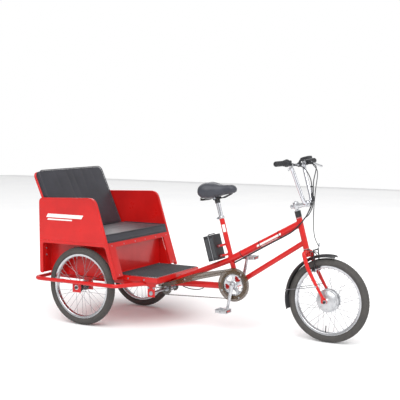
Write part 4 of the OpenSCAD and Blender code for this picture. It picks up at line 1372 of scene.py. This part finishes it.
class RICKSHAW_OT_fork(bpy.types.Operator):
    """Fork: crown, tapered legs that bend forward, drop-outs, steerer, axle washers and nut caps"""
    bl_idname = "rickshaw.fork"
    bl_label = "Fork"

    def execute(self, context):
        leg = fork_leg()
        share = np.linspace(0, 1, len(leg))
        radius = np.interp(share, [0, 0.2, 0.55, 1.0], [12.5, 13.0, 12.0, 8.6])
        legs = mirrored(tube(leg, radius, 20, X, dome=0.5))
        crown = lathe([(0, -44), (18.4, -44), (19, -43), (19, -8.6), (18.4, -7.6), (0, -7.6)], 40)
        crown = placed(crown, on_steering(549), STEER)
        bridge = tube([on_steering(531) + [0, y, 4] for y in (-24, -12, 0, 12, 24)], 14.2, 20, X)
        tip = bent([[1537, 243], [1571, 241], [1578, 256], [1566, 273], [1550, 288], [1536, 282]], 8, 5,
                   closed=True)
        tips = mirrored(upright(plate(tip, edge(6.0, 1.4, 3)), 56.0))
        steerer = placed(lathe([(0, 0), (12.7, 0), (12.7, 262), (0, 262)], 32), on_steering(538), STEER)
        piece("fork_crown_and_legs", joined(legs, crown, bridge, tips), red_enamel(), "steering", "red_paint",
              "fork", sharp=50)
        piece("steerer_tube", steerer, chrome(), "steering", "bright_steel")
        washer = lathe([(5.4, 0), (11.5, 0), (12, 0.6), (11.5, 1.4), (5.4, 1.4)], 32, wrap=True)
        piece("fork_axle_washers", both_ends(washer, FRONT_AXLE, 62.1), polished_alloy(), "steering",
              "bright_steel")
        cap = lathe([(0, 0), (8.6, 0), (8.6, 3), (6.0, 6.5), (0, 7.4)], 20)
        piece("axle_nut_caps", both_ends(cap, FRONT_AXLE, 71.0), black_abs(), "steering", "black_plastic")
        return {"FINISHED"}


class RICKSHAW_OT_handlebar(bpy.types.Operator):
    """High-rise bar in one bent tube, its crossbar, the stem with its bolts, and moulded grips"""
    bl_idname = "rickshaw.handlebar"
    bl_label = "Handlebar and stem"

    def execute(self, context):
        bar = tube(bar_path(), 11.0, 24, X, dome=0.3)
        cross = tube([CROSSBAR + y * Y for y in np.linspace(-91, 91, 9)], 8.4, 18, X)
        piece("handlebar_tube", joined(bar, cross), chrome(), "steering", "bright_steel", "handlebar",
              sharp=60)
        lug = lathe([(8.6, 0), (12.2, 0.5), (12.6, 9), (11.0, 12), (8.6, 12)], 28, wrap=True)
        piece("crossbar_sleeves", mirrored(placed(lug, CROSSBAR + 80 * Y, Y)), polished_alloy(), "steering",
              "alloy")
        s = steer_x(800)
        body = bent([[s - 33, 0, 803.4], [s + 20, 0, 814], [s + 76, 0, 826], BAR_CLAMP], [0, 18, 12, 0], 6)
        size = np.interp(np.linspace(0, 1, len(body)), [0, 0.25, 0.6, 1], [13.0, 16.0, 13.2, 13.4])
        arm = tube(body, size, 28, Y, ring=oval(1.0, 1.0, 28, 0.7), dome=0.5)
        socket = placed(lathe([(0, 53), (16.0, 53), (17.4, 54.5), (17.6, 90), (16.4, 93), (10, 94.4),
                               (0, 94.6)], 44), on_steering(549) + 200 * STEER, STEER)
        half = [(17.6, 1.4), (20.0, 3), (19.8, 23.6), (18.6, 25), (11.15, 25)]
        clamp = placed(lathe([(r, -h) for r, h in half[::-1]] + half, 40, wrap=True), BAR_CLAMP, Y)
        piece("stem_forging", joined(arm, socket, clamp), polished_alloy(), "steering", "alloy", "stem",
              sharp=50)
        heads = [[1440, y, z] for z in (836, 818) for y in (-14, 14)]
        heads = joined(bolts(heads, X, 4.0, 4.4), bolts([on_steering(549) + 294.4 * STEER], STEER, 6.0, 5.0),
                       bolts([[s - 24, 14.0, 805.5]], Y, 4.0, 4.0),
                       bolts([[s - 24, -14.0, 805.5]], -Y, 4.0, 4.0))
        piece("stem_bolts", heads, zinc(), "steering", "bright_steel", sharp=30)
        # Grip: radius waves every 7 mm along its length, with a flange at the inner end and a round outer end
        t = np.linspace(0, 108, 109)
        r = 15.0 + 0.8 * raised(t / 7.0, 0.35, 0.12) * smooth((t - 14) / 4) * smooth((96 - t) / 4)
        r = r + 3.2 * np.exp(-((t - 3) / 2.4) ** 2) + 0.9 * np.exp(-((t - 104) / 5) ** 2)
        profile = np.vstack([[11.1, 0.0], np.stack([r, t], -1), [12.0, 110.6], [0.0, 111.4]])
        way = unit(np.array([1343.0, 284, 1073]) - [1349.5, 122, 1073])
        grip = placed(lathe(profile, 36), np.array([1347.2, 179.0, 1073.0]), way)
        piece("grip_sleeves", mirrored(grip), grip_rubber(), "steering", "black_rubber", "grips", sharp=70)
        return {"FINISHED"}


class RICKSHAW_OT_controls(bpy.types.Operator):
    """Twist housings, brake perches and levers, and the display on the crossbar"""
    bl_idname = "rickshaw.controls"
    bl_label = "Controls"

    def execute(self, context):
        way = unit(np.array([-6.5, 162.0, 0.0]))
        t = np.linspace(0, 1, 25)
        bulge = 15.5 + 7.6 * np.sin(np.clip((t - 0.05) / 0.8, 0, 1) * math.pi) ** 0.8
        housing = np.vstack([[11.1, 0], np.stack([bulge, 50 * t], -1), [11.1, 50]])
        twist = placed(lathe(housing, 36, wrap=True), [1349.4, 127.0, 1073.0], way)
        switch = block([1355, 136, 1062], [1378, 160, 1090], 0.45)
        band = lathe([(11.1, 0), (14.6, 0.5), (15, 12), (14.6, 13.5), (11.1, 14)], 30, wrap=True)
        perch = joined(placed(band, [1350, 112.5, 1073], way),
                       block([1354, 128, 1056], [1396, 156, 1071], 0.5))
        piece("control_housings", mirrored(joined(twist, switch, perch)), black_abs(), "steering",
              "black_plastic", "bar_controls", sharp=60)
        lever = bent([[1384, 142, 1064], [1397, 170, 1058], [1402, 214, 1048], [1408, 252, 1040]],
                     [0, 18, 24, 0], 7)
        size = np.interp(np.linspace(0, 1, len(lever)), [0, 0.3, 0.9, 1], [8.0, 7.4, 6.4, 7.6])
        piece("brake_levers", mirrored(tube(lever, size, 16, Z, ring=oval(0.62, 1.0, 16), dome=0.9)),
              cast_alloy(), "steering", "alloy", sharp=80)
        pivots = mirrored(domes([[1386, 142, 1072.0]], Z, 4.2, 2.6))
        piece("lever_pivots", pivots, zinc(), "steering", "bright_steel")
        # Display: a rounded case tipped back towards the rider, on a clamp round the crossbar
        tip = math.radians(14)
        turn = np.array([[math.cos(tip), 0, -math.sin(tip)], [0, 1, 0], [math.sin(tip), 0, math.cos(tip)]])
        case = egg([62, 58, 20], 0.35, 36, 16)
        glass = plate(rounded(44, 42, 6), [(0, 0), (0, 1.2), (1.2, 2.0)])
        centre = np.array([1396.0, 33.0, 1097.0])
        piece("display_case", moved(case, centre, turn), black_abs(), "steering", "black_plastic", sharp=60)
        glass = moved(moved(glass, [0, 0, 8.6]), centre, turn)
        piece("display_window", glass, dark_glass(), "steering", "black_plastic", sharp=30)
        band = lathe([(8.7, -9), (13.4, -9), (14.2, -8), (14.2, 8), (13.4, 9), (8.7, 9)], 32, wrap=True)
        arm = tube(bent([[1353, 31, 1066], [1358, 31, 1084], [1382, 31, 1092]], [0, 10, 0], 6), 7.5, 14, Y)
        piece("display_clamp", joined(placed(band, CROSSBAR + 31 * Y, Y), arm), black_abs(), "steering",
              "black_plastic")
        return {"FINISHED"}


class RICKSHAW_OT_brake_and_fender(bpy.types.Operator):
    """Front linear-pull brake with its pads, guide pipe and boot, and the crowned mudguard with its flap"""
    bl_idname = "rickshaw.brake_and_fender"
    bl_label = "Brake and mudguard"

    def execute(self, context):
        arm = bent([[1489, 36.5, 430], [1487, 37.5, 456], [1482, 38.5, 500], [1478, 36.5, 556]],
                   [0, 12, 16, 0], 6)
        size = np.interp(np.linspace(0, 1, len(arm)), [0, 0.25, 1], [7.0, 6.4, 4.6])
        arms = tube(arm, size, 16, X, ring=oval(1.25, 0.72, 16), dome=0.7)
        boss = placed(lathe([(0, 0), (6.6, 0), (6.6, 20), (5.6, 21.5), (3.4, 21.5), (3.2, 24), (0, 24)], 20),
                      [1470, 38, 432], X)
        piece("brake_arms", mirrored(joined(arms, boss)), black_enamel(), "steering", "black_paint",
              "front_brake", sharp=60)
        # Pads: blocks bent to the rim's own curve, 55 mm long
        arc = np.radians(np.linspace(103, 118.5, 12))
        run = FRONT_AXLE + np.stack([205 * np.cos(arc), np.full(12, 24.0), 205 * np.sin(arc)], -1)
        piece("brake_pads", mirrored(tube(run, 5.2, 16, Y, ring=oval(1.0, 0.9, 16, 0.5), dome=0.3)),
              grip_rubber(), "steering", "black_rubber", sharp=60)
        studs = joined(placed(lathe([(3, -6), (3, 4), (5.2, 4), (5.2, 8), (4, 9), (0, 9.4)], 16),
                              [1489, 34, 440], Y), bolts([[1494, 37.5, 432]], X, 5.0, 4.0))
        piece("brake_studs", mirrored(studs), zinc(), "steering", "bright_steel")
        pipe = [BRAKE_ROUTE[-1], [1489, 22, 590], [1484, 40, 588], [1480, 46, 566], [1478, 40, 554],
                [1478, 28, 553]]
        piece("brake_guide_pipe", tube(bent(pipe, [0, 9, 9, 9, 5, 0], 6), 2.8, 12, X), drawn_steel(),
              "steering", "bright_steel")
        a = np.linspace(-24, 26, 41)
        boot = np.stack([np.full(41, 1478.0), a, np.full(41, 553.0)], -1)
        piece("brake_boot", tube(boot, 3.4 + 0.9 * np.sin(a * 1.5), 12, X), black_pvc(), "steering",
              "black_plastic")
        # Mudguard: radius 262 + 16 (1 - |y / 30|^2.6) across, so its sides fall over the tyre
        turn = np.radians(np.linspace(80, 178, 90))[:, None]
        s = np.linspace(-1, 1, 25)[None]
        skin = lambda extra: 262.0 + 16.0 * (1 - np.abs(s) ** 2.6) + extra
        fade = smooth((turn - math.radians(80)) / math.radians(3)) * 0.16 + 0.84

        def sheet(extra, turn, fade):
            r = skin(extra)
            return FRONT_AXLE + np.stack([r * np.cos(turn), 30 * s * fade + 0 * turn, r * np.sin(turn)], -1)

        shell = np.concatenate([sheet(0.9, turn, fade), sheet(-0.9, turn, fade)[:, ::-1]], 1)
        piece("mudguard", surface(shell, caps=True, flat=True), black_enamel(), "steering", "black_paint",
              "front_fender", sharp=50)
        late = np.radians(np.linspace(174, 196, 24))[:, None]
        wide = 1.0 + 0.12 * smooth((late - late[0]) / 0.2)
        flap = np.concatenate([sheet(3.0, late, wide * 0.98), sheet(1.1, late, wide * 0.98)[:, ::-1]], 1)
        piece("mud_flap", surface(flap, caps=True, flat=True), mat_rubber(), "steering", "black_rubber",
              sharp=50)
        stay = bent([[1296, 31.5, 300], [1400, 50, 318], [1507, 69, 341]], [0, 20, 0], 6)
        ends = joined(domes([[1507, 70.5, 341]], Y, 5.6, 3.0), domes([[1296, 32.8, 300]], Y, 4.6, 2.4))
        piece("mudguard_stays", mirrored(tube(stay, 2.4, 10, Z)), drawn_steel(), "steering", "bright_steel")
        tab = block([1438, -14, 538], [1478, 14, 541], 0.3)
        legs = mirrored(tube([[1456, 12, 540], [1478, 15, 536], [1492, 18, 527]], 2.6, 10, Y))
        piece("mudguard_bracket", joined(tab, legs), black_enamel(), "steering", "black_paint")
        piece("mudguard_screws", mirrored(ends), zinc(), "steering", "bright_steel")
        return {"FINISHED"}


class RICKSHAW_OT_crankset(bpy.types.Operator):
    """Forged cranks, the toothed chainring on its five-arm spider, the spindle and the pedal pins"""
    bl_idname = "rickshaw.crankset"
    bl_label = "Crankset"

    def execute(self, context):
        ring = placed(sprocket_shape(CHAINRING_R, 44, 59.0, 3.4), BRACKET - CHAIN_Y * Y, Y)
        half = [[14, -17], [30, -14], [44, -10], [56, -15], [64, -24], [64, 24], [56, 15], [44, 10], [30, 14],
                [14, 17]]
        arm = plate(bent(half, [2, 5, 6, 4, 2, 2, 4, 6, 5, 2], 4, closed=True), edge(5.0, 1.4, 3))
        lead = around(5) + 0.3
        arms = [moved(arm, [0, 0, 0], np.array(Matrix.Rotation(a, 3, "Z"))) for a in lead]
        spider = joined(*arms, lathe([(9, 0), (24, 0), (25, 1), (25, 5), (22, 7), (9, 8)], 44, wrap=True))
        spider = placed(moved(spider, [0, 0, 0], scale=[1, 1, -1]), BRACKET - 51.6 * Y, Y)
        piece("chainring", joined(ring, spider), polished_alloy(), "crankset", "bright_steel", "crankset",
              sharp=36)
        heads = [BRACKET + [62 * math.cos(a), -58.4, -62 * math.sin(a)] for a in lead]
        piece("chainring_bolts", domes(heads, -Y, 5.0, 2.0, 14), zinc(), "crankset", "bright_steel")
        boss = lathe([(0, -7), (14.6, -7), (15.8, -5.6), (15.8, 5.6), (14.6, 7), (12.4, 7), (12.0, 5.2),
                      (0, 5.2)], 36)
        eye = lathe([(0, -7), (11.4, -7), (12.4, -6), (12.4, 5), (11.4, 6.4), (6.2, 6.4), (6, 7)], 30)
        pin = lathe([(0, 0), (7.6, 0), (7.6, 9), (5.9, 10), (5.9, 79), (0, 79)], 20)
        arms, pins = [], []
        for s in (-1, 1):
            # The right crank hangs down and the left one stands up, half a turn apart
            hub, end = BRACKET + s * 74 * Y, BRACKET + s * (CRANK + 84 * Y)
            share = np.linspace(0, 1, 24)[:, None]
            path = hub + (end - hub) * share + Y * s * 3.0 * (smooth(share) - share)
            size = np.interp(share[:, 0], [0, 0.1, 0.5, 0.92, 1], [15.5, 13.6, 11.0, 10.4, 11.6])
            arms += [tube(path, size, 20, Y, ring=oval(1.0, 0.62, 20), dome=0.9)]
            arms += [placed(boss, hub, s * Y), placed(eye, end, s * Y)]
            pins.append(placed(pin, end + s * 2 * Y, s * Y))
        piece("crank_arms", joined(*arms), polished_alloy(), "crankset", "bright_steel", sharp=50)
        cap = lathe([(0, 5.0), (9.0, 5.0), (10.6, 5.2), (10.6, 6.6), (8, 7.6), (0, 8.0)], 28)
        piece("crank_dust_caps", both_ends(cap, BRACKET, 74.0), black_abs(), "crankset", "black_plastic")
        spindle = placed(lathe([(0, -66), (8.4, -66), (8.4, 66), (0, 66)], 28), BRACKET, Y)
        piece("spindle_and_pedal_pins", joined(spindle, *pins), zinc(), "crankset", "bright_steel", sharp=40)
        return {"FINISHED"}


class RICKSHAW_OT_pedals(bpy.types.Operator):
    """Cage pedals: barrel, end cap, toothed side plates and red reflectors in their holders"""
    bl_idname = "rickshaw.pedals"
    bl_label = "Pedals"

    def execute(self, context):
        x = np.linspace(-41, 41, 83)
        teeth = 11.0 + 1.9 * np.abs(np.mod(x / 6.0, 1) * 2 - 1) * smooth((37 - np.abs(x)) / 3)
        outline = np.vstack([np.stack([x, teeth], -1), np.stack([x, -teeth], -1)[::-1]])
        side_plate = plate(outline, edge(2.4, 0.7, 3))
        web = [[-35, -8], [-18, -9], [0, -12.5], [18, -9], [35, -8], [35, 8], [18, 9], [0, 12.5], [-18, 9],
               [-35, 8]]
        web = plate(bent(web, [1, 6, 8, 6, 1, 1, 6, 8, 6, 1], 4, closed=True), edge(4.0, 1.2, 3))
        half = [(10, 22), (12.4, 28), (12.4, 36), (11.5, 38), (6.3, 38)]
        barrel = lathe([(r, -h) for r, h in half[::-1]] + [(9.4, 0)] + half, 32, wrap=True)
        cage = joined(sideways(side_plate, 34.4), sideways(side_plate, -36.8), upright(web, -41.5),
                      upright(web, 37.5), placed(barrel, [0, 0, 0], Y))
        cap = placed(lathe([(0, 0), (10.5, 0), (10.5, 1.6), (7.4, 3.6), (0, 4.2)], 28), [0, 37.6, 0], Y)
        lens = plate(rounded(40, 11, 3), [(0, 0), (0, 2.0), (1.0, 3.0)])
        lenses = mirrored(sideways(lens, 36.6), (-1, 1, 1))
        holder = plate(rounded(58, 17, 4), [(0, 0), (0, 1.4), (0.7, 2.0)])
        holders = mirrored(sideways(holder, 35.6), (-1, 1, 1))
        for name, s in (("right", -1), ("left", 1)):
            move = lambda part: moved(part, BRACKET + s * (CRANK + 140 * Y), scale=[1, s, 1])
            body = name + "_pedal"
            piece(name + "_pedal_cage", move(cage), cast_alloy(), body, "bright_steel", body, sharp=40)
            piece(name + "_pedal_cap", move(cap), black_abs(), body, "black_plastic")
            piece(name + "_pedal_reflectors", move(lenses), red_lens(), body, "bright_steel", sharp=40)
            piece(name + "_pedal_holders", move(holders), black_abs(), body, "black_plastic", sharp=40)
        return {"FINISHED"}


class RICKSHAW_OT_drive(bpy.types.Operator):
    """Roller chains, sprockets, the cross shaft and the smoked chain guard"""
    bl_idname = "rickshaw.drive"
    bl_label = "Drive"

    def execute(self, context):
        axle = np.array([0.0, 0.0, AXLE_H])
        first = chain_shape(chain_path(BRACKET, CHAINRING_R, JACK, FIRST_COG_R, -CHAIN_Y))
        second = chain_shape(chain_path(JACK, SECOND_COG_R, axle, LAST_COG_R, CHAIN_Y))
        piece("roller_chains", joined(first, second), chain_steel(), "frame", "dark_steel", "chains",
              sharp=40)
        painted(zinc(), "jackshaft")
        cogs = joined(placed(sprocket_shape(FIRST_COG_R, 19, 18.0, 3.2), JACK - CHAIN_Y * Y, Y),
                      placed(sprocket_shape(SECOND_COG_R, 13, 12.0, 3.2), JACK + CHAIN_Y * Y, Y))
        piece("cross_shaft_sprockets", cogs, chain_steel(), "jackshaft", "dark_steel", sharp=40)
        boss = lathe([(6.4, -9), (18, -9), (19, -8), (19, 8), (18, 9), (6.4, 9)], 40, wrap=True)
        last = joined(sprocket_shape(LAST_COG_R, 16, 12.0, 3.2), boss)
        piece("drive_axle_sprocket", placed(last, axle + CHAIN_Y * Y, Y), chain_steel(), "left_wheel",
              "dark_steel", sharp=40)
        # Guard: a flat ring round the chainring, a tail over the upper run of the chain, and a narrow wall
        # that turns in along the ring's rim. The tail is a strip between its upper and lower edges, and ends
        # on the ring's own circle
        lap = around(140)
        ring = [(69.0, -58.0), (104.2, -58.0), (GUARD_R, -58.7), (GUARD_R, -59.5), (104.2, -60.0),
                (69.7, -60.0), (69.0, -59.4)]
        rows = [BRACKET + np.stack([r * np.cos(lap), np.full(140, y), r * np.sin(lap)], -1) for r, y in ring]
        ring = surface(np.stack(rows, 1), (True, True))
        count = 40
        upper = bent([[400.6, 255.4], [476, 275], [540, 299], [632, 333], [700, 356], [911.9, 397.4]],
                     [0, 12, 14, 20, 20, 0], 6)
        lower = bent([[400.6, 240.6], [470, 246], [562, 272], [740, 322], [859.6, 351.8]], [0, 14, 30, 20, 0],
                     6)

        def even(edge_line):
            line = denser(edge_line, 5.0)
            at, known = np.linspace(0, 1, count), np.linspace(0, 1, len(line))
            return np.stack([np.interp(at, known, line[:, k]) for k in (0, 1)], -1)

        upper, lower = even(upper), even(lower)
        share = np.linspace(0, 1, 9)[None, :, None]
        sheet = upper[:, None] * (1 - share) + lower[:, None] * share
        arc = np.radians(np.linspace(111.8, 150.5, 9))
        sheet[-1] = BRACKET[[0, 2]] + GUARD_R * np.stack([np.cos(arc), np.sin(arc)], -1)
        face = lambda y: np.stack([sheet[..., 0], np.full(sheet.shape[:2], y), sheet[..., 1]], -1)
        tail = surface(np.concatenate([face(-60.0), face(-58.0)[:, ::-1]], 1), caps=True, flat=True)
        rim_a = np.radians(np.linspace(-92, 106, 80))[:, None]
        r, y = np.array([[103.2, -58.2], [GUARD_R, -58.6], [GUARD_R, -43], [104.4, -42.2], [103.2, -42.4]]).T
        wall = BRACKET + np.stack([r * np.cos(rim_a), y + 0 * rim_a, r * np.sin(rim_a)], -1)
        piece("smoked_chain_guard", joined(ring, tail, surface(wall, caps=True, flat=True)), smoke_guard(),
              "frame", "smoke_plastic", "chain_guard", sharp=40)
        screws = [BRACKET + [87 * math.cos(a), -60.0, 87 * math.sin(a)] for a in (0.9, 3.6, 5.2)]
        screws.append(np.array([600.0, -60.0, 303.0]))
        piece("guard_screws", domes(screws, -Y, 5.4, 2.4, 14), zinc(), "frame", "bright_steel")
        return {"FINISHED"}


# Cable routes, as points listed along each cable
RIGHT_LOOM = [[1391, -140, 1062], [1432, -92, 1046], [1443, -14, 980], [1452, -8, 900], [1450, -8, 820],
              [1428, -22, 762]]
LEFT_LOOM = [[1391, 140, 1062], [1436, 92, 1040], [1450, 20, 960], [1456, 2, 880], [1454, 2, 816],
             [1436, -14, 764]]
BRAKE_ROUTE = [[1391, 148, 1056], [1440, 104, 1010], [1458, 30, 900], [1452, 20, 760], [1458, 20, 640],
               [1488, 16, 572]]
FRAME_LOOM = [[1412, -25, 738], [1396, -27, 716], [1352, -26, 670], [1300, -26, 634], [1160, -26, 557],
              [945, -27, 436]]


class RICKSHAW_OT_cables(bpy.types.Operator):
    """Cable loom from the controls down past the head tube and along the main tube, and the brake cable"""
    bl_idname = "rickshaw.cables"
    bl_label = "Cables"

    def execute(self, context):
        pvc = black_pvc()
        trunk = spline([RIGHT_LOOM[-2], RIGHT_LOOM[-1]] + FRAME_LOOM, 12)
        upper = [tube(spline(route, 14), 3.0, 10, X)
                 for route in (RIGHT_LOOM, LEFT_LOOM + [[1417, -24, 744]])]
        lower = tube(trunk, np.linspace(3.4, 5.0, len(trunk)), 12, Y)
        loom = piece("cable_loom", joined(*upper, lower), pvc, None, "black_plastic", "steering_cables",
                     "frame_cables", sharp=80)
        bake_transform(loom)
        piece("brake_cable", tube(spline(BRAKE_ROUTE, 14), 2.5, 10, X), pvc, "steering", "black_plastic",
              sharp=80)
        sag = spline([[556, -8, 250], [584, -15, 244], [630, -18, 238], [680, -16, 240], [712, -8, 252]], 8)
        piece("motor_wire_loop", tube(sag, 3.0, 10, Y), pvc, "frame", "black_plastic", sharp=80)
        half = [(7.2, 1), (6.4, 2), (6.4, 12), (5.4, 16), (0, 17)]
        plug = lathe([(r, -h) for r, h in half[::-1]] + half, 24)
        plugs = [placed(plug, spot, [0.02, 0, 1.0]) for spot in ([1452, -8, 880], [1456, 2, 858])]
        piece("cable_connectors", joined(*plugs), black_abs(), "steering", "black_plastic")
        tie = lathe([(0, -4), (8.2, -4), (8.8, -3), (8.8, 3), (8.2, 4), (0, 4)], 20)
        ties = [placed(tie, [1449, -3, z], [0.1, 0.05, 1.0]) for z in (930, 826)]
        piece("loom_ties", joined(*ties), black_abs(), "steering", "black_plastic")
        return {"FINISHED"}


class RICKSHAW_OT_stage(bpy.types.Operator):
    """Pale floor, soft lights and the camera"""
    bl_idname = "rickshaw.stage"
    bl_label = "Stage"

    def execute(self, context):
        scene = context.scene
        scene.view_settings.view_transform = "Standard"
        scene.view_settings.look = "None"
        # Floor: a square sheet with round corners, 24 m across
        floor = mesh_of("studio_floor",
                        plate(rounded(24000.0, 24000.0, 900.0, 12), [(0.0, -6.0), (0.0, -0.4)]))
        floor.materials.append(studio_floor())
        ground = bpy.data.objects.new("studio_floor", floor)
        scene.collection.objects.link(ground)
        # Air: white to the eye, and a softer grey as light, so the lamps can shape the metal
        world = bpy.data.worlds.new("studio_air")
        scene.world = world
        world.use_nodes = True
        tree = world.node_tree
        tree.nodes.clear()
        soft = add(tree, "Background", Color=linear("#FFFFFF"), Strength=0.58)
        plain = add(tree, "Background", Color=linear("#FFFFFF"), Strength=1.0)
        seen = add(tree, "LightPath").outputs["Is Camera Ray"]
        mix = tree.nodes.new("ShaderNodeMixShader")
        for k, socket in enumerate((seen, soft.outputs["Background"], plain.outputs["Background"])):
            tree.links.new(socket, mix.inputs[k])
        add(tree, "OutputWorld", Surface=mix.outputs["Shader"])
        # Sky light for the whole floor, and softboxes for long highlights
        sky = bpy.data.lights.new("overhead_sky", "SUN")
        sky.energy, sky.angle = 2.35, math.radians(70)
        lamps = [(sky, (1.2, -3.0, 5.5))]
        softboxes = (("key", (2.4, -4.6, 3.4), 2.6, 45.0), ("front", (5.0, 0.6, 2.6), 2.4, 40.0),
                     ("back", (-3.2, 4.0, 3.6), 2.6, 60.0))
        for name, place, size, power in softboxes:
            data = bpy.data.lights.new(name + "_softbox", "AREA")
            data.shape, data.size, data.energy = "SQUARE", size, power
            lamps.append((data, place))
        for data, place in lamps:
            lamp = bpy.data.objects.new(data.name, data)
            turn = basis(np.array(place) - np.array([0.0, 0.0, 0.5]))[0]
            lamp.matrix_world = Matrix([[*turn[k], place[k]] for k in range(3)] + [[0, 0, 0, 1]])
            scene.collection.objects.link(lamp)
        lens = bpy.data.cameras.new("main_camera")
        lens.sensor_width, lens.lens = 36.0, 79.43
        lens.clip_start, lens.clip_end = 0.05, 60.0
        camera = bpy.data.objects.new("main_camera", lens)
        yaw, dip = math.radians(29.70), math.radians(5.02)
        back = np.array([math.sin(yaw) * math.cos(dip), -math.cos(yaw) * math.cos(dip), math.sin(dip)])
        right = np.array([math.cos(yaw), math.sin(yaw), 0.0])
        up = np.cross(back, right)
        spot = (2.7635, -4.8863, 1.3106)
        camera.matrix_world = Matrix([[right[k], up[k], back[k], spot[k]] for k in range(3)] + [[0, 0, 0, 1]])
        scene.collection.objects.link(camera)
        scene.camera = camera
        return {"FINISHED"}


STEPS = (RICKSHAW_OT_tyres, RICKSHAW_OT_rims, RICKSHAW_OT_hubs, RICKSHAW_OT_hub_motor,
         RICKSHAW_OT_bench_sides, RICKSHAW_OT_bench_body, RICKSHAW_OT_seat, RICKSHAW_OT_backrest,
         RICKSHAW_OT_floor_and_rail, RICKSHAW_OT_main_frame, RICKSHAW_OT_battery, RICKSHAW_OT_saddle,
         RICKSHAW_OT_fork, RICKSHAW_OT_handlebar, RICKSHAW_OT_controls, RICKSHAW_OT_brake_and_fender,
         RICKSHAW_OT_crankset, RICKSHAW_OT_pedals, RICKSHAW_OT_drive, RICKSHAW_OT_cables, RICKSHAW_OT_stage)


class RICKSHAW_PT_workshop(bpy.types.Panel):
    """Lists the settings and the steps"""
    bl_label = "Rickshaw"
    bl_idname = "RICKSHAW_PT_workshop"
    bl_space_type = "VIEW_3D"
    bl_region_type = "UI"
    bl_category = "Rickshaw"

    def draw(self, context):
        scene = context.scene
        for group, keys in ((scene.rickshaw_colours, ("enamel", "vinyl")),
                            (scene.rickshaw_wheels, ("tread", "knobs", "spoke")),
                            (scene.rickshaw_bench, ("swell", "pressure", "welt"))):
            for key in keys:
                self.layout.prop(group, key)
        for step in STEPS:
            self.layout.operator(step.bl_idname)


GROUPS = {"rickshaw_colours": RickshawColours, "rickshaw_wheels": RickshawWheels,
          "rickshaw_bench": RickshawBench}


def register():
    for group in (*GROUPS.values(), *STEPS, RICKSHAW_PT_workshop):
        bpy.utils.register_class(group)
    for name, group in GROUPS.items():
        setattr(bpy.types.Scene, name, bpy.props.PointerProperty(type=group))


def unregister():
    for name in GROUPS:
        delattr(bpy.types.Scene, name)
    for group in (RICKSHAW_PT_workshop, *STEPS[::-1], *GROUPS.values()):
        bpy.utils.unregister_class(group)


def main():
    register()
    for step in STEPS:
        getattr(bpy.ops.rickshaw, step.bl_idname.split(".")[1])()


if __name__ == "__main__":
    main()
